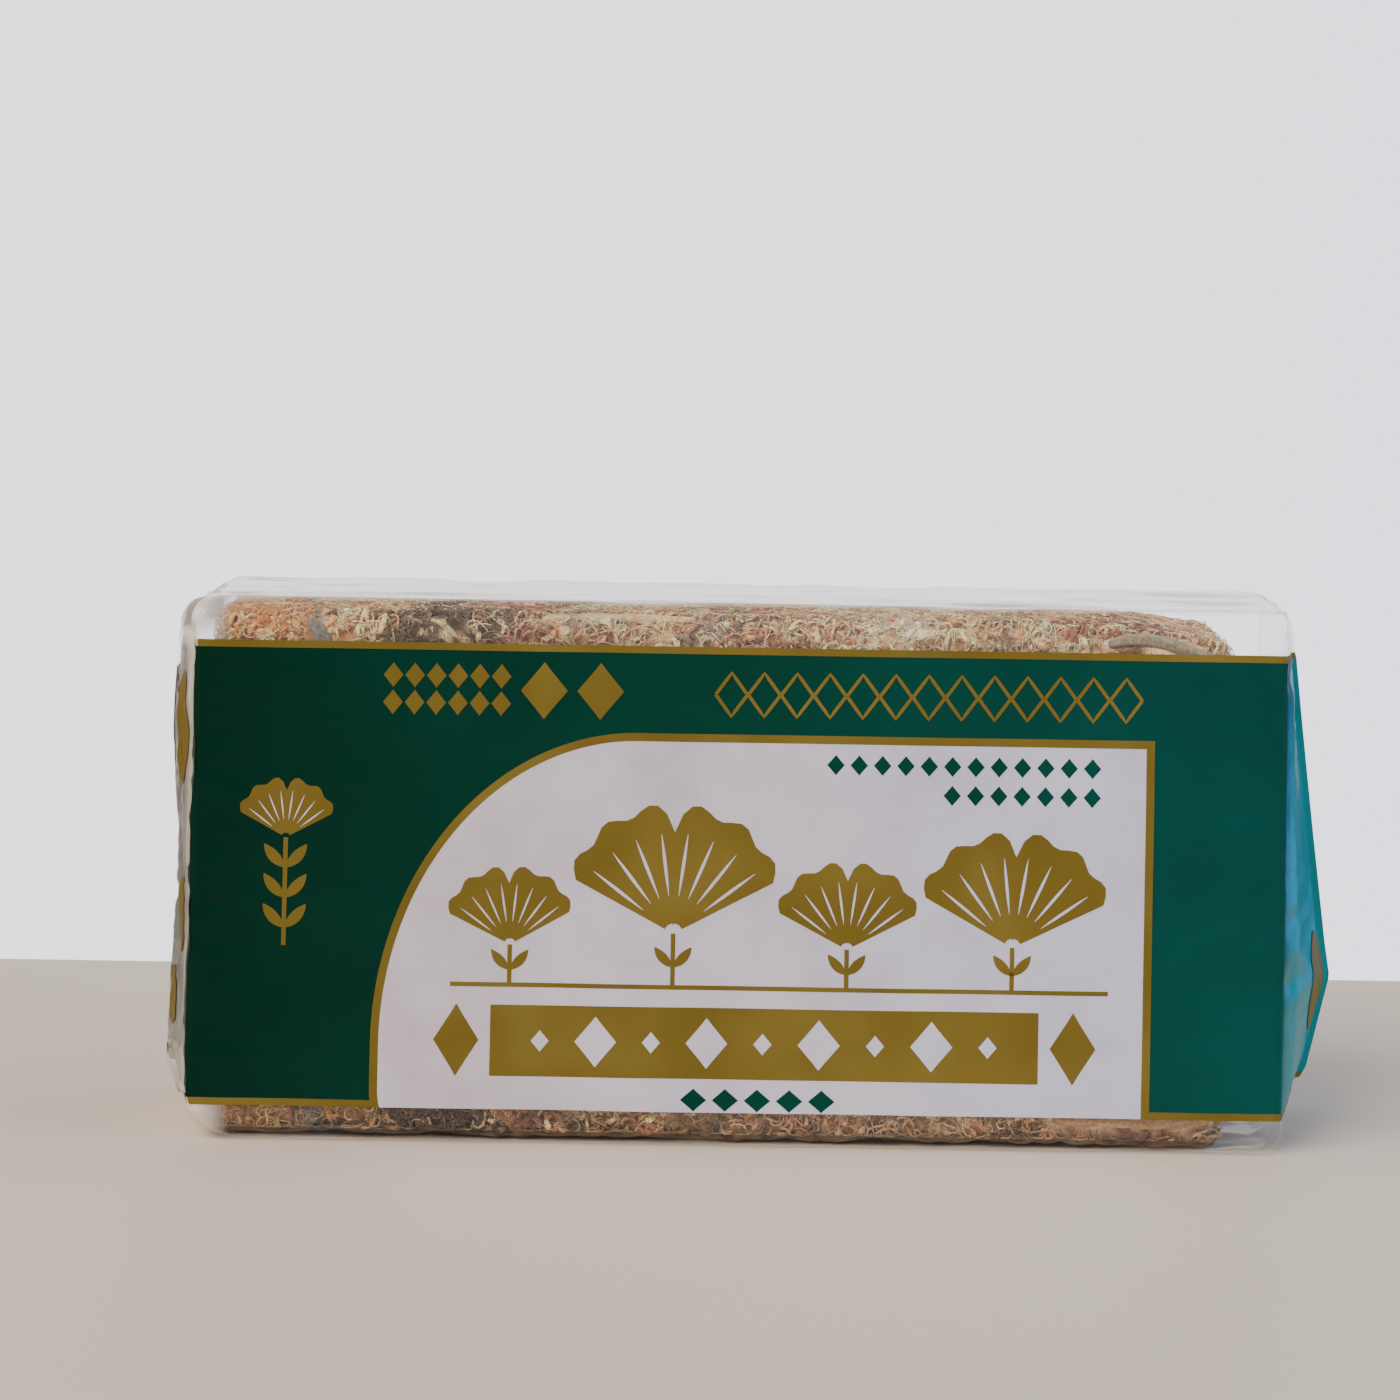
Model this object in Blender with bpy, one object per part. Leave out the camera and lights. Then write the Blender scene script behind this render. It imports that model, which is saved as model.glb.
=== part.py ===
"""Pressed brick of dried sphagnum moss in its film bag.

The bag stands on one long narrow side. X runs along the bag, Y is its depth with the
front panel at -Y, and Z is up. The origin is at the bottom, in the middle of the whole
object's box. Lengths are in metres.
"""

import math
import random

import bmesh
import bpy
import numpy as np
from mathutils import Vector

MM = 0.001
MERGE = 0.01 * MM

# The bag: its front panel measures BAG_LENGTH by BAG_HEIGHT
BAG_LENGTH = 240 * MM
BAG_HEIGHT = 121 * MM
BAG_DEPTH = 63 * MM
FILM = 0.6 * MM
END_INSET = 1.15
EDGE_RADIUS = 4.0 * MM
EDGE_STEPS = 3
PANEL_CROWN = 0.7 * MM

# The skins are lofted through rings. The sides of a ring carry these heights, and its top
# and foot these shares of the half depth. The rings stand at these shares of the way from
# the middle to the end's edge, and from there to the seal.
SIDE_HEIGHTS = (8, 12.5, 22, 35, 48, 66, 80, 94, 108)
TOP_SHARES = (-0.5, 0.0, 0.5)
BODY_STATIONS = (0.0, 0.3, 0.6, 0.84, 0.94, 0.992)
WING_STEPS = (0.02, 0.35, 0.7, 0.9)
FIN_STEPS = (0.0, 0.1, 0.4, 0.7, 1.0)

# Each end is drawn in to an upright seal at mid depth. The seal's fin is folded flat:
# to the back at the right end, to the front at the left end.
# The right seal stands out furthest low down: its heights and reaches are in millimetres.
RIGHT_SEAL_HEIGHTS = (0, 4, 15, 36, 44, 69, 121)
RIGHT_SEAL_REACHES = (2.6, 3.4, 8.9, 12.6, 11.8, 9.6, 3.8)
LEFT_REACH = 6.5 * MM
LEFT_REACH_WAVE = 1.1 * MM
LEFT_WAVE_LENGTH = 75 * MM
LEFT_WAVE_CREST = 93 * MM
RIGHT_FIN_WIDTH = 15 * MM
LEFT_FIN_WIDTH = 23 * MM
FIN_WAVE = 3.0 * MM
FIN_WAVE_LENGTH = 38 * MM
FIN_SPRING = 0.5 * MM
FIN_SHORTEN = 0.1
FIN_SHORTEN_RUN = 0.4
FIN_MIDDLE = 62 * MM
FIN_HALF = 0.6 * MM
FIN_STANDOFF = 1.5 * MM
FOLD_NEAR = (0.55 * MM, 0.75 * MM)
FOLD_FAR = (1.3 * MM, -0.3 * MM)
SEAL_TOP_DROP = 2.5 * MM
SEAL_FOOT_RISE = 5.0 * MM
SEAL_FOOT_LEVEL = 6.0 * MM

# The lower corners of the bag round up from the table, the left one more than the right
LEFT_FOOT_ROUND = 14 * MM
LEFT_FOOT_RISE = 12 * MM
RIGHT_FOOT_ROUND = 4 * MM
RIGHT_FOOT_RISE = 8 * MM
LEFT_TOP_ROUND = 4 * MM
RIGHT_TOP_ROUND = 1.2 * MM
TOP_FALL = 7 * MM

# The lap seam along the back panel, and the vent hole that lets air out of the bag
SEAM_HEIGHT = 62 * MM
SEAM_WIDTH = 12 * MM
SEAM_RAISE = 0.5 * MM
SEAM_STEP = 0.8 * MM
VENT_RADIUS = 1.5 * MM
VENT_X = 98 * MM
VENT_Z = 104 * MM
VENT_SIDES = 16
VENT_CUT_DEPTH = 4 * MM

# The moss: a pressed block, its strands standing out of a smaller core
MOSS_X = (-115.5 * MM, 110.0 * MM)
MOSS_Z = (2.4 * MM, 118.6 * MM)
MOSS_DEPTH = 58.6 * MM
STRAND_COVER = 3.7 * MM
CORE_CELL = 9.5 * MM
CORE_ROUND = 4.5 * MM
CORE_RELIEF = (-2.6 * MM, 1.2 * MM)
CORE_SLIDE = 2.4 * MM
CORE_SEED = 17
WORN_DEPTH = 4.0 * MM
WORN_START = 70 * MM
WORN_RUN = 45 * MM
WORN_RISE_STOP = 8 * MM
STRAND_PITCH = 19.4 * MM
STRAND_JITTER = (0.15, 0.85)
STRAND_LENGTH = (20 * MM, 31 * MM)
STRAND_WIDTH = (4.6 * MM, 7.6 * MM)
STRAND_THICK = 2.0 * MM
STRAND_TAPER = (0.7, 1.0, 0.85)
STRAND_CREST = (1.7 * MM, 2.7 * MM)
STRAND_TIP = (0.9 * MM, 3.0 * MM)
STRAND_ROOT = 2.6 * MM
STRAND_CURL = 0.4
STRAND_REACHES = (-0.5, -0.22, 0.14, 0.5)
STRAND_BENDS = (-0.3, 0.35, 0.5, -0.45)
STRAND_SHOULDER = 0.75
STRAND_BASE = 0.4
STRAND_STRAY = 0.5
LAY_WAVE = 24 * MM
LAY_SWING = 1.9
LAY_BEND = 1.7
LAY_PITCH = 1.3
LAY_OFFSET = 0.6
STRAND_SEED = 41

# Loose plant bits pressed into the block lie in grooves with this gap all round. The gap is
# a little wider at a tube's flats than at its corners.
BIT_GAP = 0.35 * MM
GAP_AT_CORNERS = 1.25
ROD_END = 0.08
BITS = {
    "straw_stem": {
        "start": (-43 * MM, -23.6 * MM, 116.6 * MM),
        "end": (-9 * MM, -24.6 * MM, 116.8 * MM),
        "sag": (0, 0.6 * MM, 0.3 * MM),
        "sway": (0, 0.5 * MM, 0),
        "middle": 1.35 * MM,
        "tip": 0.8 * MM,
        "flat": 0.6,
        "up": (0, -0.5, 0.866),
    },
    "woody_twig": {
        "start": (82 * MM, -26.6 * MM, 113.0 * MM),
        "end": (108.2 * MM, -26.6 * MM, 108.8 * MM),
        "sag": (0, 0, 0.8 * MM),
        "sway": (0, 0, 0.5 * MM),
        "middle": 1.6 * MM,
        "tip": 1.0 * MM,
        "flat": 0.85,
        "up": (0, -1, 0),
    },
    "low_stick": {
        "start": (72 * MM, -26.6 * MM, 6.6 * MM),
        "end": (107 * MM, -26.6 * MM, 7.4 * MM),
        "sag": (0, 0, -0.5 * MM),
        "sway": (0, 0, 0.3 * MM),
        "middle": 1.5 * MM,
        "tip": 0.9 * MM,
        "flat": 0.8,
        "up": (0, -1, 0),
    },
    "bark_flake": {
        "start": (-94.5 * MM, -26.8 * MM, 116.0 * MM),
        "end": (-90.6 * MM, -26.8 * MM, 108.6 * MM),
        "sag": (1.0 * MM, 0, 0),
        "sway": (0, 0, 0),
        "middle": 1.9 * MM,
        "tip": 0.9 * MM,
        "flat": 0.42,
        "up": (0, -1, 0),
    },
    "pale_sprig": {
        "start": (-67.5 * MM, -26.8 * MM, 116.2 * MM),
        "end": (-58.5 * MM, -26.8 * MM, 108.2 * MM),
        "sag": (0.7 * MM, 0, 0.7 * MM),
        "sway": (0, 0, 0.4 * MM),
        "middle": 0.95 * MM,
        "tip": 0.5 * MM,
        "flat": 0.8,
        "up": (0, -1, 0),
    },
}
BIT_POINTS = 8
BIT_SIDES = 6
BED_POINTS = 4
BED_SINK = 2.3 * MM
BED_RADIUS = 2.7 * MM

# The whole object's box is centred on the origin: the right end reaches out further
CENTRE_SHIFT = (max(RIGHT_SEAL_REACHES) * MM - LEFT_REACH - LEFT_REACH_WAVE) / 2


def clear_scene():
    """Start from an empty scene."""
    for item in list(bpy.data.objects):
        bpy.data.objects.remove(item, do_unlink=True)


def principled(name, colour, roughness, alpha=1.0):
    """A plain Principled material in a linear colour."""
    material = bpy.data.materials.new(name)
    material.use_nodes = True
    shader = material.node_tree.nodes["Principled BSDF"]
    shader.inputs["Base Color"].default_value = (*colour, 1.0)
    shader.inputs["Roughness"].default_value = roughness
    shader.inputs["Metallic"].default_value = 0.0
    shader.inputs["Alpha"].default_value = alpha
    return material


def new_object(name, mesh, material=None):
    """Link a mesh to the scene as a named object."""
    item = bpy.data.objects.new(name, mesh)
    bpy.context.collection.objects.link(item)
    if material is not None:
        mesh.materials.append(material)
    return item


def mesh_from(name, points, faces):
    """A mesh from points and faces, its doubled points merged."""
    mesh = bpy.data.meshes.new(name)
    mesh.from_pydata([tuple(p) for p in points], [], [tuple(f) for f in faces])
    shape = bmesh.new()
    shape.from_mesh(mesh)
    bmesh.ops.remove_doubles(shape, verts=shape.verts, dist=MERGE)
    bmesh.ops.dissolve_degenerate(shape, edges=shape.edges, dist=MERGE)
    bmesh.ops.recalc_face_normals(shape, faces=shape.faces)
    if shape.calc_volume(signed=True) < 0:
        bmesh.ops.reverse_faces(shape, faces=shape.faces)
    shape.to_mesh(mesh)
    shape.free()
    return mesh


def smooth(t):
    """Ease from 0 to 1 with level ends."""
    t = np.clip(t, 0.0, 1.0)
    return t * t * (3 - 2 * t)


# The bag's form

def section_points(half_depth, low, high, radius, seam):
    """One section across the bag, from the front's foot up, over the top, and down the back.

    The sides carry extra heights so that the end folds can follow their curves.
    """
    arc = np.linspace(0, math.pi / 2, EDGE_STEPS)
    heights = np.array(SIDE_HEIGHTS) * MM
    depths = np.array(TOP_SHARES) * half_depth
    front = [(-half_depth, z) for z in heights]
    back = [(half_depth, z) for z in heights[::-1]]
    if seam:
        low_edge = SEAM_HEIGHT - SEAM_WIDTH / 2
        high_edge = SEAM_HEIGHT + SEAM_WIDTH / 2
        back = [p for p in back if not low_edge - SEAM_STEP < p[1] < high_edge + SEAM_STEP]
        back += [(half_depth, low_edge - SEAM_STEP), (half_depth, high_edge + SEAM_STEP)]
        back += [(half_depth + SEAM_RAISE, low_edge), (half_depth + SEAM_RAISE, high_edge)]
        back.sort(key=lambda p: -p[1])
    inner = half_depth - radius
    across = inner + radius * np.cos(arc)
    foot = low + radius - radius * np.sin(arc)
    head = high - radius + radius * np.sin(arc)
    points = list(zip(-across[::-1], foot[::-1]))
    points += front
    points += list(zip(-across, head))
    points += [(y, high) for y in depths]
    points += list(zip(across[::-1], head[::-1]))
    points += back
    points += list(zip(across, foot))
    points += [(y, low) for y in depths[::-1]]
    return np.array(points)


def end_edge(z, side):
    """Distance from the middle to the end's edge at a height: it draws in at foot and top."""
    if side > 0:
        foot_round, foot_rise, top_round = RIGHT_FOOT_ROUND, RIGHT_FOOT_RISE, RIGHT_TOP_ROUND
    else:
        foot_round, foot_rise, top_round = LEFT_FOOT_ROUND, LEFT_FOOT_RISE, LEFT_TOP_ROUND
    near_foot = np.clip(1 - z / foot_rise, 0, 1)
    near_top = np.clip(1 - (BAG_HEIGHT - z) / TOP_FALL, 0, 1)
    foot = foot_round * (1 - np.sqrt(1 - near_foot**2))
    top = top_round * (1 - np.sqrt(1 - near_top**2))
    return BAG_LENGTH / 2 - foot - top


def drawn_edge(z, side, drawn):
    """The end's edge where the end is drawn in: the seal's foot is less rounded than the panels'."""
    return end_edge(z + (np.maximum(z, SEAL_FOOT_LEVEL) - z) * drawn, side)


def seal_reach(z, side):
    """How far the folded seal stands out past the end's edge at a height."""
    if side > 0:
        return np.interp(z / MM, RIGHT_SEAL_HEIGHTS, RIGHT_SEAL_REACHES) * MM
    wave = np.cos(2 * math.pi * (z - LEFT_WAVE_CREST) / LEFT_WAVE_LENGTH)
    return LEFT_REACH + LEFT_REACH_WAVE * wave


def crowned(section, station):
    """Push the front and back panels out a little towards their middle."""
    y = section[:, 0]
    z = section[:, 1]
    flat = np.clip((np.abs(y) - (BAG_DEPTH / 2 - EDGE_RADIUS)) / EDGE_RADIUS, 0, 1)
    rise = (1 - station**2) * np.clip(4 * z * (BAG_HEIGHT - z) / BAG_HEIGHT**2, 0, 1)
    return y + np.sign(y) * flat * rise * PANEL_CROWN


def bag_ring(section, station, drawn, inset, side):
    """A ring of the bag, by its station along X (0 to 1) and how far its end is drawn in.

    An inner ring, inset from the outer skin, takes the end's edge from the outer skin's
    height that it lies behind.
    """
    y = crowned(section, station)
    z = section[:, 1]
    outer_z = (z - inset) / (BAG_HEIGHT - 2 * inset) * BAG_HEIGHT
    sign = np.where(section[:, 0] > 0, 1.0, -1.0)
    new_z = z + (seal_height(z) - z) * smooth(drawn)
    new_y = y + (sign * FIN_HALF - y) * drawn
    shell_reach = seal_reach(new_z, side) - FIN_STANDOFF - FIN_HALF
    x = station * (drawn_edge(outer_z, side, drawn) - END_INSET * inset) + drawn * shell_reach
    return np.column_stack([side * x, new_y, new_z])


def seal_height(z):
    """The height at the seal of a point that lies at height z on the panels."""
    seal_high = BAG_HEIGHT - SEAL_TOP_DROP
    return SEAL_FOOT_RISE + z / BAG_HEIGHT * (seal_high - SEAL_FOOT_RISE)


def fin_rings(section, side):
    """The seal's fin: out from the ridge, round a tight fold, and back along the end.

    In plan view the fin runs beside the wing, the line from the ridge to the end's edge,
    and its near face keeps FIN_STANDOFF less half the fin from it. It is shorter than the
    ridge, so it stays clear of the rounded foot and top.
    """
    near = np.where(section[:, 0] > 0, 1.0, -1.0) * side > 0
    width = RIGHT_FIN_WIDTH if side > 0 else LEFT_FIN_WIDTH
    rings = []
    for along in FIN_STEPS:
        shorten = FIN_SHORTEN * min(1.0, along / FIN_SHORTEN_RUN)
        z = FIN_MIDDLE + (seal_height(section[:, 1]) - FIN_MIDDLE) * (1 - shorten)
        panel_z = (z - SEAL_FOOT_RISE) / (seal_height(BAG_HEIGHT) - SEAL_FOOT_RISE) * BAG_HEIGHT
        ridge_x = drawn_edge(panel_z, side, 1.0) + seal_reach(z, side) - FIN_STANDOFF - FIN_HALF
        if along == 0.0:
            fold_x = ridge_x + np.where(near, FOLD_NEAR[0], FOLD_FAR[0])
            fold_y = np.where(near, FOLD_NEAR[1], FOLD_FAR[1])
            rings.append(np.column_stack([side * fold_x, side * fold_y, z]))
            continue
        wing = np.column_stack([end_edge(z, side) - ridge_x, np.full(len(z), BAG_DEPTH / 2)])
        wing /= np.linalg.norm(wing, axis=1)[:, None]
        wave = np.sin(2 * math.pi * z / FIN_WAVE_LENGTH)
        reach = along * (width + FIN_WAVE * wave)
        lift = FIN_STANDOFF + FIN_SPRING * along**2
        offset = lift + np.where(near, -FIN_HALF, FIN_HALF)
        x = ridge_x + wing[:, 0] * reach + wing[:, 1] * offset
        y = wing[:, 1] * reach - wing[:, 0] * offset
        rings.append(np.column_stack([side * x, side * y, z]))
    return rings


def loft(rings):
    """Points and faces of a closed skin through a list of equal rings."""
    count = len(rings[0])
    points = np.vstack(rings)
    faces = []
    for k in range(len(rings) - 1):
        for j in range(count):
            a = k * count + j
            b = k * count + (j + 1) % count
            faces.append((a, b, b + count, a + count))
    faces += cap_faces(rings[0], 0)
    faces += cap_faces(rings[-1], (len(rings) - 1) * count)
    return points, faces


def cap_faces(ring, first):
    """Close a ring by a ladder of triangles between its front half and its back half."""
    count = len(ring)
    start = int(np.argmin(ring[:, 2]))
    order = [(start + k) % count for k in range(count)]
    low = 0
    high = count - 1
    faces = []
    while high - low > 1:
        climb = ring[order[low + 1], 2] <= ring[order[high - 1], 2]
        if climb or low == 0:
            faces.append((order[low], order[low + 1], order[high]))
            low += 1
        else:
            faces.append((order[low], order[high - 1], order[high]))
            high -= 1
    return [tuple(first + i for i in face) for face in faces]


def bag_side(section, inset, side, wing_steps):
    """The rings of one half of the bag, from the middle to its end."""
    rings = [bag_ring(section, s, 0.0, inset, side) for s in BODY_STATIONS]
    rings += [bag_ring(section, 1.0, e, inset, side) for e in wing_steps]
    return rings


def film_bag(material):
    """The film bag: outer skin and inner skin of one body, with a vent hole through the back."""
    half = BAG_DEPTH / 2
    outer = section_points(half, 0.0, BAG_HEIGHT, EDGE_RADIUS, True)
    left = bag_side(outer, 0.0, -1, (*WING_STEPS, 1.0)) + fin_rings(outer, -1)
    right = bag_side(outer, 0.0, 1, (*WING_STEPS, 1.0)) + fin_rings(outer, 1)
    skin = mesh_from("film_bag", *loft(left[::-1] + right[1:]))
    bag = new_object("film_bag", skin, material)

    inner = section_points(half - FILM, FILM, BAG_HEIGHT - FILM, EDGE_RADIUS - FILM, False)
    left = bag_side(inner, FILM, -1, WING_STEPS)
    right = bag_side(inner, FILM, 1, WING_STEPS)
    hollow = new_object("bag_hollow_cutter", mesh_from("bag_hollow", *loft(left[::-1] + right[1:])))
    vent = vent_cutter(half)
    for cutter in (hollow, vent):
        cut(bag, cutter, "EXACT")
    return bag


def vent_cutter(half):
    """A short round rod through the back panel only."""
    shape = bmesh.new()
    bmesh.ops.create_cone(
        shape,
        cap_ends=True,
        segments=VENT_SIDES,
        radius1=VENT_RADIUS,
        radius2=VENT_RADIUS,
        depth=VENT_CUT_DEPTH,
    )
    mesh = bpy.data.meshes.new("vent_cutter")
    shape.to_mesh(mesh)
    shape.free()
    cutter = new_object("vent_cutter", mesh)
    cutter.rotation_euler = (math.pi / 2, 0, 0)
    cutter.location = (VENT_X, half, VENT_Z)
    return cutter


def cut(item, cutter, solver):
    """Subtract a cutter, and hide it."""
    cutter.hide_render = True
    cutter.display_type = "WIRE"
    modifier = item.modifiers.new(cutter.name, "BOOLEAN")
    modifier.operation = "DIFFERENCE"
    modifier.solver = solver
    modifier.object = cutter


# The moss block

def box_grid(low, high, cell):
    """Points and faces of a box whose six sides are grids of nearly square cells."""
    counts = [max(2, round((high[k] - low[k]) / cell)) for k in range(3)]
    points = []
    faces = []
    for axis in range(3):
        u = (axis + 1) % 3
        v = (axis + 2) % 3
        for end in (low, high):
            first = len(points)
            for i in range(counts[u] + 1):
                for j in range(counts[v] + 1):
                    point = [0.0, 0.0, 0.0]
                    point[axis] = end[axis]
                    point[u] = low[u] + (high[u] - low[u]) * i / counts[u]
                    point[v] = low[v] + (high[v] - low[v]) * j / counts[v]
                    points.append(point)
            for i in range(counts[u]):
                for j in range(counts[v]):
                    a = first + i * (counts[v] + 1) + j
                    b = a + counts[v] + 1
                    faces.append((a, a + 1, b + 1, b))
    return np.array(points), faces


def rounded(points, low, high, radius):
    """Pull the points of a box in to rounded edges and corners."""
    nearest = np.clip(points, low + radius, high - radius)
    away = points - nearest
    length = np.linalg.norm(away, axis=1)[:, None]
    return nearest + away / np.maximum(length, 1e-9) * np.minimum(length, radius)


def worn_top(x):
    """How much lower the block's top lies towards its right end."""
    return WORN_DEPTH * smooth((x - WORN_START) / WORN_RUN)


def core_box():
    """The lowest and highest corners of the core."""
    half = MOSS_DEPTH / 2 - STRAND_COVER
    low = np.array([MOSS_X[0] + STRAND_COVER, -half, MOSS_Z[0] + STRAND_COVER])
    high = np.array([MOSS_X[1] - STRAND_COVER, half, MOSS_Z[1] - STRAND_COVER])
    return low, high


def moss_core():
    """The pressed core: a block with worn edges, all over in a relief of matted strands.

    Each point of the block's grid moves out or in, and a little sideways, by a seeded draw.
    """
    low, high = core_box()
    points, faces = box_grid(low, high, CORE_CELL)
    points = rounded(points, low, high, CORE_ROUND)
    mesh = mesh_from("moss_block", points, faces)
    points = np.array([v.co for v in mesh.vertices])
    outward = (points - np.clip(points, low + CORE_ROUND, high - CORE_ROUND)) / CORE_ROUND
    draw = np.random.default_rng(CORE_SEED)
    lift = draw.uniform(*CORE_RELIEF, (len(points), 1))
    slide = draw.uniform(-CORE_SLIDE, CORE_SLIDE, points.shape)
    slide -= outward * np.sum(slide * outward, axis=1)[:, None]
    points = points + outward * lift + slide
    high_up = smooth((points[:, 2] - BAG_HEIGHT / 2) / (BAG_HEIGHT / 2 - WORN_RISE_STOP))
    points[:, 2] -= worn_top(points[:, 0]) * high_up
    mesh.vertices.foreach_set("co", points.ravel())
    return new_object("moss_block", mesh)


def strand_sites(draw):
    """Even, jittered places on the six sides of the block, each with its outward side."""
    low, high = core_box()
    sites = []
    for axis in range(3):
        u = (axis + 1) % 3
        v = (axis + 2) % 3
        count_u = max(2, round((high[u] - low[u]) / STRAND_PITCH))
        count_v = max(2, round((high[v] - low[v]) / STRAND_PITCH))
        for sign, end in ((-1, low), (1, high)):
            for i in range(count_u):
                for j in range(count_v):
                    place = [0.0, 0.0, 0.0]
                    part_u = (i + draw.uniform(*STRAND_JITTER)) / count_u
                    part_v = (j + draw.uniform(*STRAND_JITTER)) / count_v
                    place[axis] = end[axis]
                    place[u] = low[u] + (high[u] - low[u]) * part_u
                    place[v] = low[v] + (high[v] - low[v]) * part_v
                    sites.append((Vector(place), axis, sign))
    return sites


def lay_of_strands(place):
    """The direction that the strands lie in at a place: it wanders slowly over the block."""
    wander = math.sin(place[0] / LAY_WAVE + LAY_BEND * math.sin(place[2] / LAY_WAVE))
    wander += math.cos(place[2] / LAY_WAVE * LAY_PITCH + place[1] / LAY_WAVE + LAY_OFFSET)
    return LAY_SWING * wander


def strand_path(site, draw):
    """A curled path over the surface: its root is sunk, its back arches, its tip dips or lifts."""
    place, axis, sign = site
    normal = Vector((0, 0, 0))
    normal[axis] = sign
    along = Vector((0, 0, 0))
    turn = lay_of_strands(place) + draw.uniform(-STRAND_STRAY, STRAND_STRAY)
    along[(axis + 1) % 3] = math.cos(turn)
    along[(axis + 2) % 3] = math.sin(turn)
    across = normal.cross(along)
    length = draw.uniform(*STRAND_LENGTH)
    curl = draw.uniform(-STRAND_CURL, STRAND_CURL) * length
    crest = draw.uniform(*STRAND_CREST)
    tip = draw.uniform(*STRAND_TIP)
    levels = (-STRAND_ROOT, STRAND_SHOULDER * crest, crest, tip)
    path = []
    for reach, bend, level in zip(STRAND_REACHES, STRAND_BENDS, levels):
        path.append(place + along * reach * length + across * bend * curl + normal * level)
    return path, normal


def inside_block(point, margin):
    """Keep a point within the space that the moss fills."""
    low = (MOSS_X[0] + margin, -MOSS_DEPTH / 2 + margin, MOSS_Z[0] + margin)
    high = (MOSS_X[1] - margin, MOSS_DEPTH / 2 - margin, MOSS_Z[1] - worn_top(point[0]) - margin)
    kept = Vector([min(max(point[k], low[k]), high[k]) for k in range(3)])
    return kept


def strand_mesh(path, normal, width, thick):
    """A three-sided strand along its path: two edges low, one ridge high, ending in a point."""
    path = [inside_block(p, thick / 2) for p in path]
    last = len(path) - 1
    points = []
    for k in range(last):
        ahead = (path[k + 1] - path[max(k - 1, 0)]).normalized()
        across = ahead.cross(normal).normalized()
        size = STRAND_TAPER[k]
        points.append(path[k] - across * width / 2 * size - normal * thick * STRAND_BASE)
        points.append(path[k] + across * width / 2 * size - normal * thick * STRAND_BASE)
        points.append(path[k] + normal * thick / 2 * size)
    points.append(path[last])
    faces = [(0, 1, 2)]
    for k in range(last - 1):
        a = 3 * k
        for j in range(3):
            b = (j + 1) % 3
            faces.append((a + j, a + 3 + j, a + 3 + b))
            faces.append((a + j, a + 3 + b, a + b))
    a = 3 * (last - 1)
    faces += [(a, 3 * last, a + 1), (a + 1, 3 * last, a + 2), (a + 2, 3 * last, a)]
    return mesh_from("strand", points, faces)


def add_strands(block):
    """Fuse the strands into the block by one union on their collection."""
    draw = random.Random(STRAND_SEED)
    group = bpy.data.collections.new("strands")
    bpy.context.scene.collection.children.link(group)
    meshes = [bed_mesh(name) for name in BITS]
    for site in strand_sites(draw):
        path, normal = strand_path(site, draw)
        width = draw.uniform(*STRAND_WIDTH)
        meshes.append(strand_mesh(path, normal, width, STRAND_THICK))
    for mesh in meshes:
        group.objects.link(bpy.data.objects.new("strand", mesh))
    modifier = block.modifiers.new("strands", "BOOLEAN")
    modifier.operation = "UNION"
    modifier.operand_type = "COLLECTION"
    modifier.collection = group
    modifier.solver = "MANIFOLD"
    apply_modifiers(block)
    for strand in list(group.objects):
        bpy.data.objects.remove(strand, do_unlink=True)
    bpy.data.collections.remove(group)


def apply_modifiers(item):
    """Replace an object's mesh by its evaluated one."""
    graph = bpy.context.evaluated_depsgraph_get()
    graph.update()
    mesh = bpy.data.meshes.new_from_object(item.evaluated_get(graph))
    item.modifiers.clear()
    item.data = mesh


def keep_one_body(item):
    """Keep only the outer skin of the largest body: sealed pockets fill, loose scraps go."""
    shape = bmesh.new()
    shape.from_mesh(item.data)
    bmesh.ops.remove_doubles(shape, verts=shape.verts, dist=MERGE / 10)
    seen = set()
    bodies = []
    for start in shape.verts:
        if start in seen:
            continue
        seen.add(start)
        body = [start]
        for vert in body:
            for edge in vert.link_edges:
                other = edge.other_vert(vert)
                if other not in seen:
                    seen.add(other)
                    body.append(other)
        bodies.append(body)
    bodies.sort(key=len)
    for body in bodies[:-1]:
        bmesh.ops.delete(shape, geom=body, context="VERTS")
    shape.to_mesh(item.data)
    shape.free()


# Loose plant bits pressed into the moss

def rod_mesh(name, path, radii, sides, flatness, up):
    """A tube along a path with rounded ends, flattened along its up direction."""
    last = len(path) - 1
    points = []
    for k, p in enumerate(path):
        ahead = (path[min(k + 1, last)] - path[max(k - 1, 0)]).normalized()
        across = ahead.cross(up).normalized()
        rise = across.cross(ahead).normalized()
        for j in range(sides):
            a = 2 * math.pi * (j + 0.5) / sides
            points.append(p + (across * math.cos(a) + rise * math.sin(a) * flatness) * radii[k])
    faces = [tuple(range(sides))[::-1]]
    for k in range(last):
        for j in range(sides):
            a = k * sides + j
            b = k * sides + (j + 1) % sides
            faces.append((a, b, b + sides, a + sides))
    faces.append(tuple(last * sides + j for j in range(sides)))
    return mesh_from(name, points, faces)


def rod_path(start, end, sag, sway, count):
    """Points from start to end that bow by sag across and by sway up or down."""
    path = []
    for k in range(count):
        t = k / (count - 1)
        p = Vector(start).lerp(Vector(end), t)
        p += Vector(sag) * 4 * t * (1 - t)
        p += Vector(sway) * math.sin(2 * math.pi * t)
        path.append(p)
    return path


def rod_radii(middle, tip, count):
    """Radii along a rod, thinner at both ends."""
    ways = [ROD_END + (1 - 2 * ROD_END) * k / (count - 1) for k in range(count)]
    return [tip + (middle - tip) * math.sin(math.pi * way) for way in ways]


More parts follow.
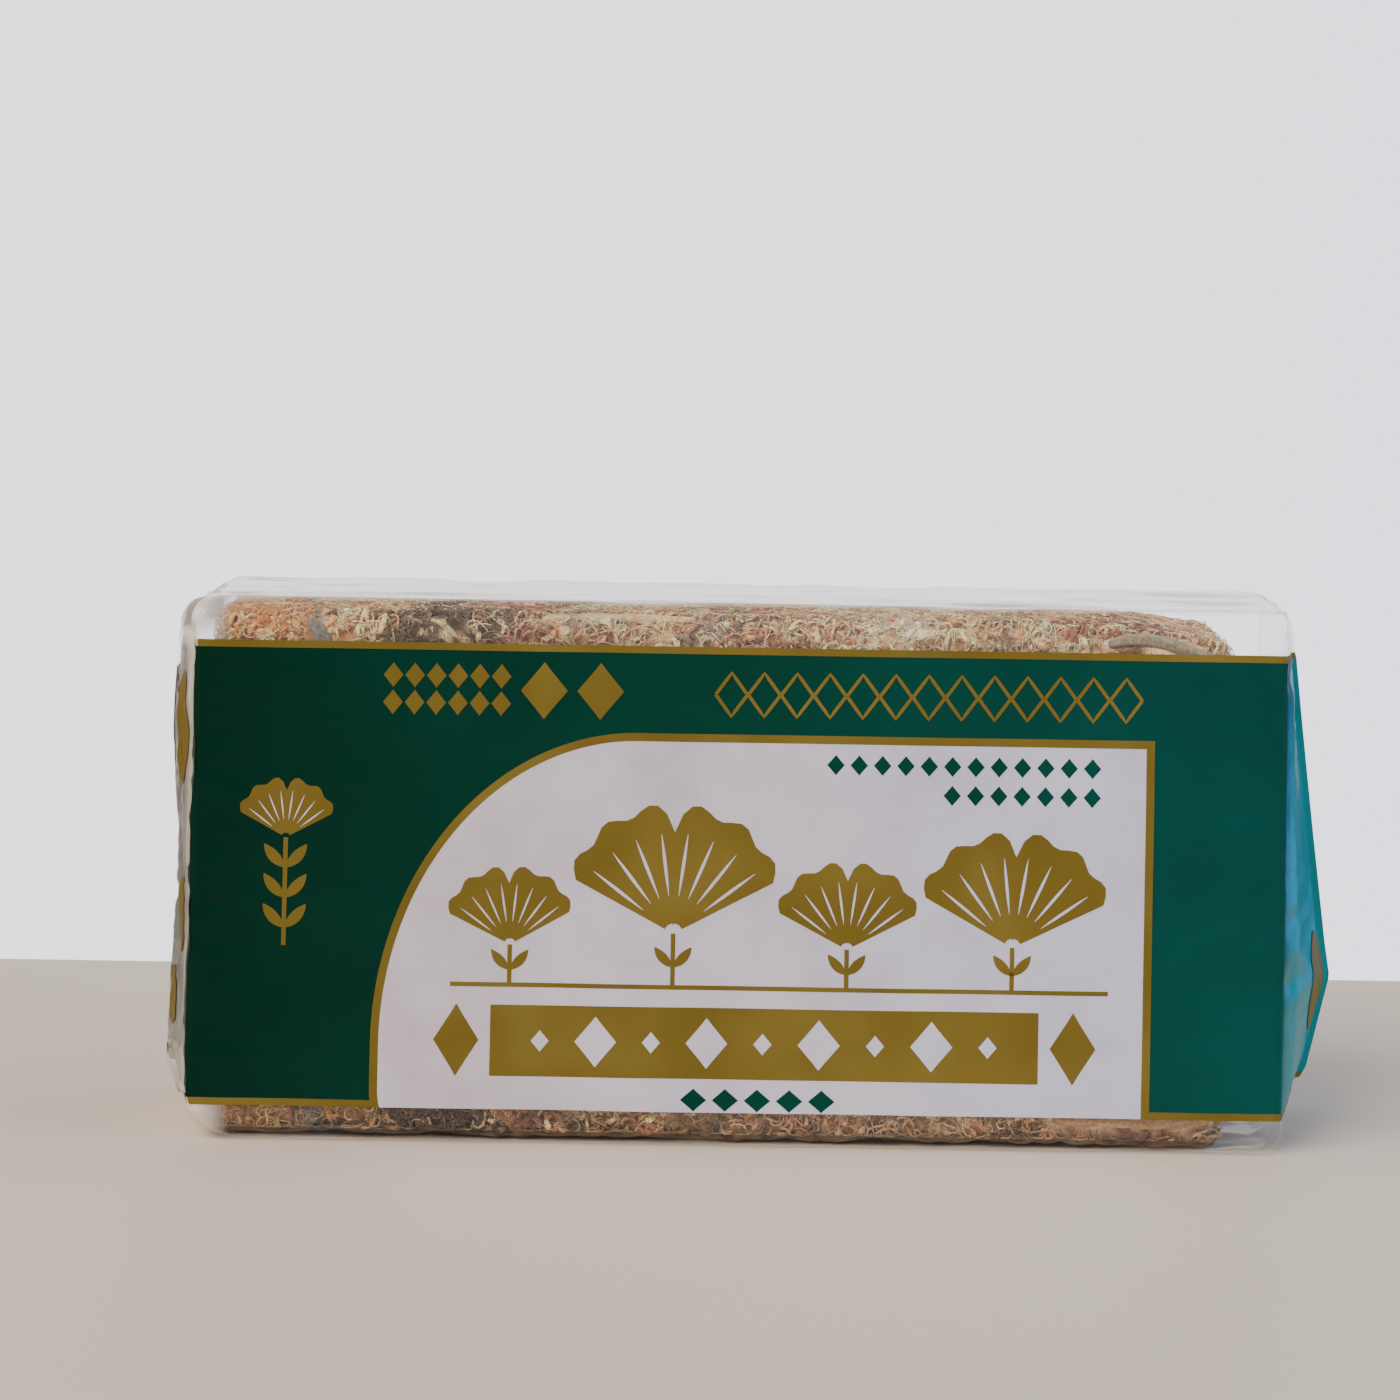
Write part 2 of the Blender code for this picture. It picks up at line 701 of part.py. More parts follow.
def bit_mesh(name, grow):
    """The mesh of one loose bit, grown all round by a gap where it serves as a cutter."""
    bit = BITS[name]
    path = rod_path(bit["start"], bit["end"], bit["sag"], bit["sway"], BIT_POINTS)
    ahead = (path[-1] - path[0]).normalized()
    path[0] = path[0] - ahead * grow
    path[-1] = path[-1] + ahead * grow
    gap = grow * GAP_AT_CORNERS
    radii = [r + gap for r in rod_radii(bit["middle"], bit["tip"], BIT_POINTS)]
    flat = (bit["middle"] * bit["flat"] + gap) / (bit["middle"] + gap)
    return rod_mesh(name, path, radii, BIT_SIDES, flat, Vector(bit["up"]))


def bed_mesh(name):
    """The tuft of the block that a loose bit is pressed into: a fatter rod just below it."""
    bit = BITS[name]
    path = rod_path(bit["start"], bit["end"], bit["sag"], bit["sway"], BED_POINTS)
    inward = -Vector(bit["up"])
    path = [p + inward * BED_SINK for p in path]
    path[0] = path[0] + inward * BED_SINK
    path[-1] = path[-1] + inward * BED_SINK
    return rod_mesh("bed", path, [BED_RADIUS] * BED_POINTS, BIT_SIDES, 1.0, Vector(bit["up"]))


def add_bits(block, materials):
    """Lay each loose bit in a groove of its own in the block."""
    for name, material in materials.items():
        cutter = new_object(name + "_cutter", bit_mesh(name, BIT_GAP))
        cut(block, cutter, "MANIFOLD")
        apply_modifiers(block)
        bpy.data.objects.remove(cutter, do_unlink=True)
        new_object(name, bit_mesh(name, 0.0), material)


def place_all(items):
    """Centre the whole object's box on the origin along X."""
    holder = bpy.data.objects.new("bag_centre", None)
    bpy.context.collection.objects.link(holder)
    for item in items:
        item.parent = holder
    holder.location.x = -CENTRE_SHIFT


def main():
    clear_scene()
    film = principled("clear_printed_film", (0.05, 0.28, 0.22), 0.18, 0.45)
    moss = principled("dried_sphagnum", (0.42, 0.27, 0.17), 0.9)
    bits = {
        "straw_stem": principled("dry_straw", (0.62, 0.50, 0.30), 0.7),
        "woody_twig": principled("grey_twig", (0.30, 0.27, 0.19), 0.85),
        "low_stick": principled("tan_stick", (0.50, 0.33, 0.20), 0.8),
        "bark_flake": principled("grey_bark", (0.26, 0.22, 0.20), 0.85),
        "pale_sprig": principled("cream_moss", (0.68, 0.60, 0.40), 0.85),
    }
    block = moss_core()
    add_strands(block)
    keep_one_body(block)
    add_bits(block, bits)
    keep_one_body(block)
    block.data.materials.clear()
    block.data.materials.append(moss)
    film_bag(film)
    place_all([item for item in bpy.data.objects if item.parent is None])


main()
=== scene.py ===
# %% [markdown]
# # A pressed brick of dried sphagnum moss in its printed film bag
#
# The real object is a block of dried moss, pressed hard and slipped into a clear plastic bag.
# The bag is printed with a green band between gold stripes and with a pale panel, and above
# and below the band the clear film shows the moss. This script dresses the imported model: the
# tangle of strands, the wrinkled film, the ink, and the loose straw and twigs in the moss.

import math

import bpy
import numpy as np
from mathutils import Euler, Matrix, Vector


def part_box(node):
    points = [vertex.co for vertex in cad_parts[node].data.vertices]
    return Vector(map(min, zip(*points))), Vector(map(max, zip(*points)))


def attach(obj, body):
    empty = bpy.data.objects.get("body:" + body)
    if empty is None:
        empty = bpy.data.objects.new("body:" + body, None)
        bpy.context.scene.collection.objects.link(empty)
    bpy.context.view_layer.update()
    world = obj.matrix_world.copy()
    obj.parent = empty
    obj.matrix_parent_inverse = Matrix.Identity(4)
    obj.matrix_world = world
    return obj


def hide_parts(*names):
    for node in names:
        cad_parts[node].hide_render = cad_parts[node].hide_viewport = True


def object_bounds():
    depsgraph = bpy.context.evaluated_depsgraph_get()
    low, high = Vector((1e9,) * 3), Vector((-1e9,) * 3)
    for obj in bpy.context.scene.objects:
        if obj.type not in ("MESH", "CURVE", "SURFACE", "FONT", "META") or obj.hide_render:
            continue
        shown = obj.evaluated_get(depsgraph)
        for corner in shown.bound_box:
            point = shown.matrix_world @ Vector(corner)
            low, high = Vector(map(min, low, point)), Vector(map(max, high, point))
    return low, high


MM = 0.001

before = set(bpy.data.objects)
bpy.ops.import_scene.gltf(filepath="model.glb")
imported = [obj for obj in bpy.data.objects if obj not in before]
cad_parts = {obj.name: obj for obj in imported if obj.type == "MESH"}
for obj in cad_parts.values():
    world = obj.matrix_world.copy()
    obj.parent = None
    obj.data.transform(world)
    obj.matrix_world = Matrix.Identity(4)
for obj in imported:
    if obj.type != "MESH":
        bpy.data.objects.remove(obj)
cad_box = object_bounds()
print("packed model, mm:", [[round(c / MM, 1) for c in corner] for corner in cad_box])

# %% [markdown]
# ## Small tools
#
# Colours are written as the hex values that a paint chart shows, and Cycles wants them linear,
# so one function turns them. A node is always added the same way, with its settings and its
# links in one call. Every piece is made from arrays: a list of points, and faces that name them.

# %% Colour, node and mesh helpers


def linear(shade, alpha=1.0):
    """A hex colour as linear light: each channel c becomes ((c + 0.055) / 1.055) ** 2.4."""
    c = np.array([int(shade[k : k + 2], 16) for k in (1, 3, 5)]) / 255
    c = np.where(c > 0.04045, ((c + 0.055) / 1.055) ** 2.4, c / 12.92)
    return (*(float(v) for v in c), alpha)


def add(tree, kind, sockets=None, stops=(), out=0, **settings):
    """Add a node and give back its output `out`. sockets gives each input a value, or another
    node's output to link to it. stops are the places and hex colours of a colour ramp."""
    made = tree.nodes.new("ShaderNode" + kind)
    for name, value in settings.items():
        setattr(made, name, value)
    for number, (place, shade) in enumerate(stops):
        if number == len(made.color_ramp.elements):
            made.color_ramp.elements.new(place)
        made.color_ramp.elements[number].position = place
        made.color_ramp.elements[number].color = linear(shade)
    for name, value in (sockets or {}).items():
        if isinstance(value, bpy.types.NodeSocket):
            tree.links.new(value, made.inputs[name])
        else:
            made.inputs[name].default_value = value
    return made.outputs[out]


# The numbers of sockets whose names repeat: a Map Range node's least and most value, in and out,
# and a Mix node's share, its two colours, and its mixed colour. MULTIPLY sets a Mix node.
LIMITS = IN_LOW, IN_HIGH, OUT_LOW, OUT_HIGH = 1, 2, 3, 4
SHARE, COLOUR_A, COLOUR_B, MIXED = 0, 6, 7, 2
MULTIPLY = {"data_type": "RGBA", "blend_type": "MULTIPLY", "out": MIXED}


def put(name, data):
    """A new object, linked to the scene."""
    made = bpy.data.objects.new(name, data)
    bpy.context.scene.collection.objects.link(made)
    return made


def new_finish(name, **values):
    """A material with one Principled shader, its sockets set to the given values."""
    material = bpy.data.materials.new(name)
    material.use_nodes = True
    shader = material.node_tree.nodes["Principled BSDF"]
    for socket, value in values.items():
        shader.inputs[socket.replace("_", " ")].default_value = value
    return material, material.node_tree, shader


def new_piece(name, points, face_sets, material):
    """A mesh object at the origin. face_sets are arrays of faces, each with equal corners."""
    mesh = bpy.data.meshes.new(name)
    corners = np.concatenate([np.asarray(f).ravel() for f in face_sets]).astype(np.int32)
    sizes = np.concatenate([np.full(len(f), f.shape[1]) for f in face_sets])
    mesh.vertices.add(len(points))
    mesh.vertices.foreach_set("co", np.asarray(points, np.float32).ravel())
    mesh.loops.add(len(corners))
    mesh.loops.foreach_set("vertex_index", corners)
    mesh.polygons.add(len(sizes))
    mesh.polygons.foreach_set("loop_start", (np.cumsum(sizes) - sizes).astype(np.int32))
    mesh.polygons.foreach_set("use_smooth", np.ones(len(sizes), bool))
    mesh.update(calc_edges=True)
    mesh.materials.append(material)
    piece = put(name, mesh)
    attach(piece, "root")
    triangles = int((sizes - 2).sum())
    print(f"{name}: {len(points)} points, {triangles} triangles")
    return piece


def grid_faces(rows, columns, first=0):
    """The quads of a grid of points stored row by row."""
    corner = first + np.arange(rows - 1)[:, None] * columns + np.arange(columns - 1)
    quad = np.stack([corner, corner + 1, corner + columns + 1, corner + columns], -1)
    return quad.reshape(-1, 4)


def ease(t):
    """From 0 to 1 with level ends: 3 t^2 - 2 t^3."""
    t = np.clip(t, 0.0, 1.0)
    return t * t * (3 - 2 * t)


def unit(vectors):
    """Vectors in the same directions, of length one: v / |v|."""
    return vectors / np.maximum(np.linalg.norm(vectors, axis=-1), 1e-9)[..., None]


def drift(points, size, seed, count=9):
    """A smooth random field of about -1 to 1: `count` sine waves of about one size, in random
    directions, added up."""
    draw = np.random.default_rng(seed)
    heading = unit(draw.normal(size=(count, points.shape[-1])))
    heading *= 2 * np.pi / (np.asarray(size) * draw.uniform(0.7, 1.5, (count, 1)))
    phase = draw.uniform(0, 2 * np.pi, count)
    return np.sin(points @ heading.T + phase).sum(-1) / math.sqrt(count)


# %% [markdown]
# ## The camera
#
# The bag was photographed from about a metre away with a long lens, from just above its top,
# so its front is nearly flat on to the camera and its top shows as a thin band. The picture
# leans a little, so the camera is turned about its own axis too.

# %% Camera
EYE = (-10.6 * MM, -1131.5 * MM, 211 * MM)
PITCH_DOWN = math.radians(5.77)
LEAN = math.radians(0.92)
LENS = 129.3

camera = put("camera", bpy.data.cameras.new("camera"))
bpy.context.scene.camera = camera
camera.data.lens = LENS
camera.data.sensor_width = 36.0
camera.data.clip_start = 0.05
camera.location = EYE
tilt = Euler((math.pi / 2 - PITCH_DOWN, 0, 0)).to_matrix()
camera.rotation_euler = (tilt @ Euler((0, 0, LEAN)).to_matrix()).to_euler()
print("camera at", [round(c, 4) for c in camera.location], "lens", LENS, "mm")

# %% [markdown]
# ## Floor and light
#
# The bag stands near the back edge of a pale floor, before a bright wall. The rest of the room
# is dimmer, so the film mirrors little and its colours stay deep, while its top mirrors the
# wall. The light is a broad, soft, warm-white key from the upper left and front, and a tall
# blue window on the right, behind the bag, which streaks the right end.

# %% Floor, world and lamps
FLOOR_HALF = 6.0
FLOOR_BACK = 0.225
WALL_GLOW = 2.5
ROOM = [(0.0, "#43464a"), (0.12, "#43464a"), (0.3, "#a0a2a5"), (0.66, "#a0a2a5")]
ROOM += [(0.78, "#33373d"), (0.966, "#33373d"), (0.988, "#fafbff")]


def lamp(name, kind, place, aim, power, shade, **form):
    """A soft lamp at a place, facing a point. An area's sides are in metres, a sun's angle in
    radians."""
    data = bpy.data.lights.new(name, kind)
    data.energy = power
    data.color = linear(shade)[:3]
    for setting, value in form.items():
        setattr(data, setting, value)
    made = put(name, data)
    made.location = place
    away = made.location - Vector(aim)
    made.rotation_euler = away.to_track_quat("Z", "Y").to_euler()
    print("lamp", name, power, "W" if kind == "AREA" else "W/m2")


floor_finish, _, _ = new_finish("matt_floor_paint", Base_Color=linear("#e9dac6"), Roughness=0.6)
floor_mesh = bpy.data.meshes.new("floor")
front_edge = [(-FLOOR_HALF, -FLOOR_HALF, 0), (FLOOR_HALF, -FLOOR_HALF, 0)]
back_edge = [(FLOOR_HALF, FLOOR_BACK, 0), (-FLOOR_HALF, FLOOR_BACK, 0)]
floor_mesh.from_pydata(front_edge + back_edge, [], [(0, 1, 2, 3)])
floor_mesh.materials.append(floor_finish)
floor = put("floor", floor_mesh)

world = bpy.data.worlds.new("studio")
world.use_nodes = True
tree = world.node_tree
direction = add(tree, "TexCoord", out="Generated")
x = add(tree, "SeparateXYZ", {0: direction}, out="X")
backward = add(tree, "MapRange", {"Value": x.node.outputs["Y"], IN_LOW: -1.0, IN_HIGH: 1.0})
glow = add(tree, "ValToRGB", {0: backward}, ROOM)
rightward = add(tree, "MapRange", {"Value": x, IN_LOW: -0.6, IN_HIGH: 0.6})
tint = add(tree, "ValToRGB", {0: rightward}, [(0, "#fff3ea"), (1, "#e3ecff")])
both = {SHARE: 1.0, COLOUR_A: glow, COLOUR_B: tint}
tinted = add(tree, "Mix", both, **MULTIPLY)
background = tree.nodes["Background"]
background.inputs["Strength"].default_value = WALL_GLOW
tree.links.new(tinted, background.inputs["Color"])
bpy.context.scene.world = world

BAG_MIDDLE = (0, 0, 0.06)
RIGHT_END = (0.13, 0, 0.05)
WINDOW_SIDES = {"shape": "RECTANGLE", "size": 0.45, "size_y": 0.9}
lamp("key", "SUN", (-0.5, -0.8, 0.75), BAG_MIDDLE, 3.0, "#fff4e8", angle=math.radians(40))
lamp("window", "AREA", (1.25, 1.24, 0.05), RIGHT_END, 6.0, "#55aaff", **WINDOW_SIDES)
lamp("cool_fill", "AREA", (1.6, -0.7, 0.5), BAG_MIDDLE, 10.0, "#c2dcff", size=1.0)

# %% [markdown]
# ## The film's form
#
# The bag is a tube of film round the moss: its section is a rectangle with round edges. Each
# end is drawn in to an upright seal at mid depth, and the seal's fin is folded flat against the
# end. The form is worked out ring by ring along the bag. A ring is the whole section at one
# distance from the middle, so a point of the film is named by two lengths: how far along the
# bag it is, and how far round the section, from the middle of the foot up the front.

# %% Sizes of the bag
BAG_LENGTH = 240 * MM
BAG_HEIGHT = 121 * MM
BAG_DEPTH = 63 * MM
EDGE_RADIUS = 4.0 * MM
PANEL_CROWN = 0.7 * MM
LEFT, RIGHT = -1, 1

FOOT_ROUND = {LEFT: 14 * MM, RIGHT: 4 * MM}
FOOT_RISE = {LEFT: 12 * MM, RIGHT: 8 * MM}
TOP_ROUND = {LEFT: 4 * MM, RIGHT: 1.2 * MM}
TOP_FALL = 7 * MM
REACH_HEIGHTS = np.array([0, 4, 15, 36, 44, 69, 121]) * MM
RIGHT_REACH = np.array([2.6, 3.4, 9.6, 14.6, 13.4, 10.4, 4.4]) * MM
PACKED_RIGHT_REACH = 12.6 * MM
LEFT_REACH, LEFT_REACH_WAVE = 6.5 * MM, 1.1 * MM
LEFT_WAVE_LENGTH, LEFT_WAVE_CREST = 75 * MM, 93 * MM
SEAL_FOOT, SEAL_HEAD = 5.0 * MM, 118.5 * MM
SEAL_FOOT_LEVEL = 6.0 * MM
FIN_WIDTH = {LEFT: 31.6 * MM, RIGHT: 15 * MM}
FIN_WAVE, FIN_WAVE_LENGTH = 1.2 * MM, 38 * MM
FIN_HALF = 0.22 * MM
FIN_STANDOFF = 1.5 * MM
FIN_SPRING = 0.5 * MM
FIN_SHORTEN, FIN_MIDDLE = 0.1, 62 * MM
WING_WIDTH = 33 * MM

low, high = cad_box
CENTRE_SHIFT = (PACKED_RIGHT_REACH - LEFT_REACH - LEFT_REACH_WAVE) / 2
MIDDLE_X = (low.x + high.x) / 2 - CENTRE_SHIFT
print("middle of the bag's body at x =", round(MIDDLE_X / MM, 2), "mm")


def steps(stops, step):
    """Positions from the first stop to the last, every stop among them, `step` apart or less."""
    parts = []
    for a, b in zip(stops[:-1], stops[1:]):
        count = max(1, math.ceil((b - a) / step))
        parts.append(a + (b - a) * np.arange(count) / count)
    return np.concatenate([*parts, [stops[-1]]])


STRAIGHT_HIGH = BAG_HEIGHT - 2 * EDGE_RADIUS
STRAIGHT_DEEP = BAG_DEPTH - 2 * EDGE_RADIUS
ARC = EDGE_RADIUS * math.pi / 2
FRONT_FOOT = STRAIGHT_DEEP / 2 + ARC
FRONT_TOP = FRONT_FOOT + STRAIGHT_HIGH
BACK_TOP = FRONT_TOP + 2 * ARC + STRAIGHT_DEEP
BACK_FOOT = BACK_TOP + STRAIGHT_HIGH
GIRTH = BACK_FOOT + ARC + STRAIGHT_DEEP / 2


def section(round_way):
    """Depth y and height z of the section at lengths round it: straight runs and quarter arcs."""
    arc = np.linspace(0, math.pi / 2, 13)
    reach = BAG_DEPTH / 2 - EDGE_RADIUS
    head = BAG_HEIGHT - EDGE_RADIUS
    sine, cosine = EDGE_RADIUS * np.sin(arc), EDGE_RADIUS * np.cos(arc)
    corners = [(-reach - sine, EDGE_RADIUS - cosine), (-reach - cosine, head + sine)]
    corners += [(reach + sine, head + cosine), (reach + cosine, EDGE_RADIUS - sine)]
    starts = [STRAIGHT_DEEP / 2, FRONT_TOP, BACK_TOP - ARC, BACK_FOOT]
    lengths = np.concatenate([[0], *[s + arc * EDGE_RADIUS for s in starts], [GIRTH]])
    y = np.concatenate([[0], *[c[0] for c in corners], [0]])
    z = np.concatenate([[0], *[c[1] for c in corners], [0]])
    return np.interp(round_way, lengths, y), np.interp(round_way, lengths, z)


def front(height):
    """The length round the section of a height on the front panel."""
    return FRONT_FOOT + height - EDGE_RADIUS


def back(height):
    """The length round the section of a height on the back panel."""
    return BACK_TOP + BAG_HEIGHT - EDGE_RADIUS - height


# %% [markdown]
# ### Rings
#
# A ring of the body is the plain section, a little crowned at its middle. On the wings the ring
# closes step by step to the seal, and on the fin it is two flat layers that run back beside the
# wing. The soft bag settles, so its ends spread a little towards the foot.

# %% Rings of the film
SPREAD_FOOT = {LEFT: 1.0 * MM, RIGHT: 2.3 * MM}
SPREAD_TOP = {LEFT: -1.4 * MM, RIGHT: 0.9 * MM}
SPREAD_MOST = 4.0 * MM
WING_FOLD = {LEFT: 0.3 * MM, RIGHT: 1.0 * MM}
WING_FOLD_AT = 0.3


def end_edge(z, side):
    """Distance from the middle to the end's edge at a height: quarter ellipses at foot and top,
    on a line that spreads a little towards the foot, where the soft bag settles."""
    near_foot = np.clip(1 - z / FOOT_RISE[side], 0, 1)
    near_top = np.clip(1 - (BAG_HEIGHT - z) / TOP_FALL, 0, 1)
    foot = FOOT_ROUND[side] * (1 - np.sqrt(1 - near_foot**2))
    spread = np.interp(z, [0, BAG_HEIGHT], [SPREAD_FOOT[side], SPREAD_TOP[side]])
    return BAG_LENGTH / 2 + spread - foot - TOP_ROUND[side] * (1 - np.sqrt(1 - near_top**2))


def drawn_edge(z, side, drawn):
    """The end's edge where the end is drawn in: less rounded at the seal's foot."""
    return end_edge(z + (np.maximum(z, SEAL_FOOT_LEVEL) - z) * drawn, side)


def seal_reach(z, side):
    """How far the folded seal stands out past the end's edge at a height."""
    if side == RIGHT:
        return np.interp(z, REACH_HEIGHTS, RIGHT_REACH)
    wave = np.cos(2 * math.pi * (z - LEFT_WAVE_CREST) / LEFT_WAVE_LENGTH)
    return LEFT_REACH + LEFT_REACH_WAVE * wave


def seal_height(z):
    """The height at the seal of a point at height z on the panels."""
    return SEAL_FOOT + z / BAG_HEIGHT * (SEAL_HEAD - SEAL_FOOT)


def panel_ring(y, z, station, drawn, side):
    """A ring of the body (station 0 to 1) or of an end's wings (drawn 0 to 1). The wings run
    from the panels' edges to the seal, with one slight fold on the way."""
    flat = np.clip((np.abs(y) - (BAG_DEPTH / 2 - EDGE_RADIUS)) / EDGE_RADIUS, 0, 1)
    rise = (1 - station**2) * np.clip(4 * z * (BAG_HEIGHT - z) / BAG_HEIGHT**2, 0, 1)
    crowned = y + np.sign(y) * flat * rise * PANEL_CROWN
    new_z = z + (seal_height(z) - z) * ease(drawn)
    half = np.where(y > 0, 1, -1) * FIN_HALF
    reach = seal_reach(new_z, side) - FIN_STANDOFF - FIN_HALF
    x = station * drawn_edge(z, side, drawn) + drawn * reach
    x = x + np.interp(drawn, [0, WING_FOLD_AT, 1], [0, WING_FOLD[side], 0])
    return np.stack([side * x, crowned + (half - crowned) * drawn, new_z], -1)


# %% [markdown]
# ### Folded fins
#
# Past the seal both layers of film lie on each other as a fin, which is folded flat against the
# end. The real fin springs off the end a little and is crumpled, so a crumple with sharp folds
# is added to its distance from the wing.

# %% Fins of the film
RIDGE_OUT = (0.6 * MM, 1.2 * MM)
RIDGE_DEEP = (0.6 * MM, 0.1 * MM)
FIN_NARROWS_BY = 0.4
FIN_FOLDS, FIN_CRINKLES = 26 * MM, 9 * MM
FIN_CRUMPLE = {LEFT: 1.0 * MM, RIGHT: 0.5 * MM}
FIN_CLOSING = {LEFT: 2.1 * MM, RIGHT: 0.0}


def fin_ring(y, z, out, side):
    """A ring of the folded fin, `out` from 0 at the ridge to 1 at its free edge. It runs beside
    the wing, a little off it, and crumples. The left fin closes on the wing at its free edge."""
    near = np.where(y > 0, 1, -1) * side > 0
    shorten = FIN_SHORTEN * min(1.0, out / FIN_NARROWS_BY)
    z = FIN_MIDDLE + (seal_height(z) - FIN_MIDDLE) * (1 - shorten)
    panel_z = (z - SEAL_FOOT) / (SEAL_HEAD - SEAL_FOOT) * BAG_HEIGHT
    ridge = drawn_edge(panel_z, side, 1.0) + seal_reach(z, side) - FIN_STANDOFF - FIN_HALF
    if out == 0:
        x = ridge + np.where(near, *RIDGE_OUT)
        return np.stack([side * x, side * np.where(near, *RIDGE_DEEP), z], -1)
    wing = unit(np.stack([end_edge(z, side) - ridge, np.full(len(z), BAG_DEPTH / 2)], -1))
    reach = out * (FIN_WIDTH[side] + FIN_WAVE * np.sin(2 * math.pi * z / FIN_WAVE_LENGTH))
    place = np.stack([z, np.full(len(z), reach.mean())], -1)
    folds = np.abs(drift(place, FIN_FOLDS, 5 + side)) ** 0.8
    folds = folds + 0.4 * np.abs(drift(place, FIN_CRINKLES, 9))
    lift = FIN_STANDOFF + (FIN_SPRING - FIN_CLOSING[side]) * out**2
    lift = lift + FIN_CRUMPLE[side] * folds * (out if side == RIGHT else 3 * out * (1.1 - out))
    offset = lift + np.where(near, -FIN_HALF, FIN_HALF)
    x = ridge + wing[:, 0] * reach + wing[:, 1] * offset
    return np.stack([side * x, side * (wing[:, 1] * reach - wing[:, 0] * offset), z], -1)


# %% [markdown]
# ### The grid of the film
#
# The rings are set 1.5 mm apart along the film, from the middle out to both free edges. Lengths
# where the print begins or the form turns are among the grid's lines, so edges stay crisp.

# %% Grid of the film
BAND = (9.6 * MM, 110.0 * MM)
BACK_BAND_TOP = 103.0 * MM
STRIPE = 1.6 * MM
ROUND_STEP = 1.5 * MM
ALONG_STEP = 1.5 * MM

round_stops = [0, STRAIGHT_DEEP / 2]
round_stops += [FRONT_FOOT, front(BAND[0]), front(BAND[1]), FRONT_TOP, FRONT_TOP + ARC]
round_stops += [BACK_TOP - ARC, BACK_TOP, back(BACK_BAND_TOP), back(BAND[0]), BACK_FOOT]
round_stops += [BACK_FOOT + ARC, GIRTH]
round_way = steps(round_stops, ROUND_STEP)[:-1]
ring_y, ring_z = section(round_way)


def end_rings(side):
    """All rings of one half, from the middle out, with their lengths along the film."""
    half, fin = BAG_LENGTH / 2, FIN_WIDTH[side]
    body = steps([0, half], ALONG_STEP)
    wing, free = steps([0, WING_WIDTH], ALONG_STEP)[1:], steps([0, fin], ALONG_STEP)
    rings = [panel_ring(ring_y, ring_z, d / half, 0.0, side) for d in body]
    rings += [panel_ring(ring_y, ring_z, 1.0, d / WING_WIDTH, side) for d in wing]
    rings += [fin_ring(ring_y, ring_z, d / fin, side) for d in free]
    return rings, np.concatenate([body, half + wing, half + WING_WIDTH + 1 * MM + free])


left_rings, left_along = end_rings(LEFT)
right_rings, right_along = end_rings(RIGHT)
base = np.stack(left_rings[::-1] + right_rings[1:], 1)
along = np.concatenate([-left_along[::-1], right_along[1:]])
base[..., 0] += MIDDLE_X
print("film grid", base.shape, "film length", round((along[-1] - along[0]) / MM), "mm")

# %% [markdown]
# ## Wrinkles in the film
#
# The film is tight over the flat panels, where only long shallow ripples run along the bag. It
# has spare width at the top and foot, and at each end it is gathered to the seal, so creases
# fan out there. The ripples are sums of sine waves of real sizes, and the creases are the same
# waves folded at zero, which makes sharp valleys. They move each point along the film's normal.

# %% Wrinkles
RIPPLE_SIZE, RIPPLE_HIGH = 13 * MM, 0.09 * MM
SWELL_SIZE, SWELL_HIGH = 34 * MM, 0.16 * MM
SLACK_SIZE, SLACK_HIGH = 17 * MM, 0.32 * MM
CREASE_SIZE = 10 * MM
CREASE_HIGH = {LEFT: 0.42 * MM, RIGHT: 0.28 * MM}
CALM_BY_RIDGE, CALM_BY_EDGE = 7 * MM, 5 * MM


def normals_of(grid):
    """Outward unit normals of a closed ring grid: the cross product of its two directions."""
    way_round = np.roll(grid, -1, 0) - np.roll(grid, 1, 0)
    way_along = np.gradient(grid, axis=1)
    return unit(np.cross(way_along, way_round))


def wrinkles(round_way, along):
    """How far each film point stands out: ripples on the panels, creases towards the ends."""
    u, v = np.meshgrid(along, round_way)
    flat = np.stack([u, v], -1)
    z = section(v)[1]
    panel_end = np.abs(u) / (BAG_LENGTH / 2)
    on_wing = ease((panel_end - 1) / 0.04)
    near_end = ease((panel_end - 0.72) / 0.28)
    top_or_foot = ease((np.abs(z / BAG_HEIGHT - 0.5) - 0.38) / 0.1)
    ripple = drift(flat / [3.2, 1.0], RIPPLE_SIZE, 3) * RIPPLE_HIGH
    ripple += drift(flat, SWELL_SIZE, 4) * SWELL_HIGH
    slack = drift(flat / [2.4, 1.0], SLACK_SIZE, 6) * SLACK_HIGH * top_or_foot
    crease = (0.5 - np.abs(drift(flat / [5.0, 1.0], CREASE_SIZE, 8))) * near_end
    crease *= np.where(u < 0, CREASE_HIGH[LEFT], CREASE_HIGH[RIGHT])
    at_ridge = ease((BAG_LENGTH / 2 + WING_WIDTH - np.abs(u)) / CALM_BY_RIDGE)
    at_edge = 0.2 + 0.8 * ease(np.abs(np.abs(u) - BAG_LENGTH / 2) / CALM_BY_EDGE)
    stand = ripple * (1 - on_wing * 0.3) + slack + crease * (1 + 0.5 * on_wing)
    return stand * at_ridge * at_edge


normals = normals_of(base)
stand = wrinkles(round_way, along)
film = base + normals * stand[..., None]
film[..., 0] = np.clip(film[..., 0], low.x, high.x + SPREAD_MOST)
film[..., 1] = np.clip(film[..., 1], low.y, high.y)
film[..., 2] = np.clip(film[..., 2], low.z + 0.02 * MM, high.z)
normals = normals_of(film)
print("wrinkles, mm:", round(stand.min() / MM, 2), "to", round(stand.max() / MM, 2))


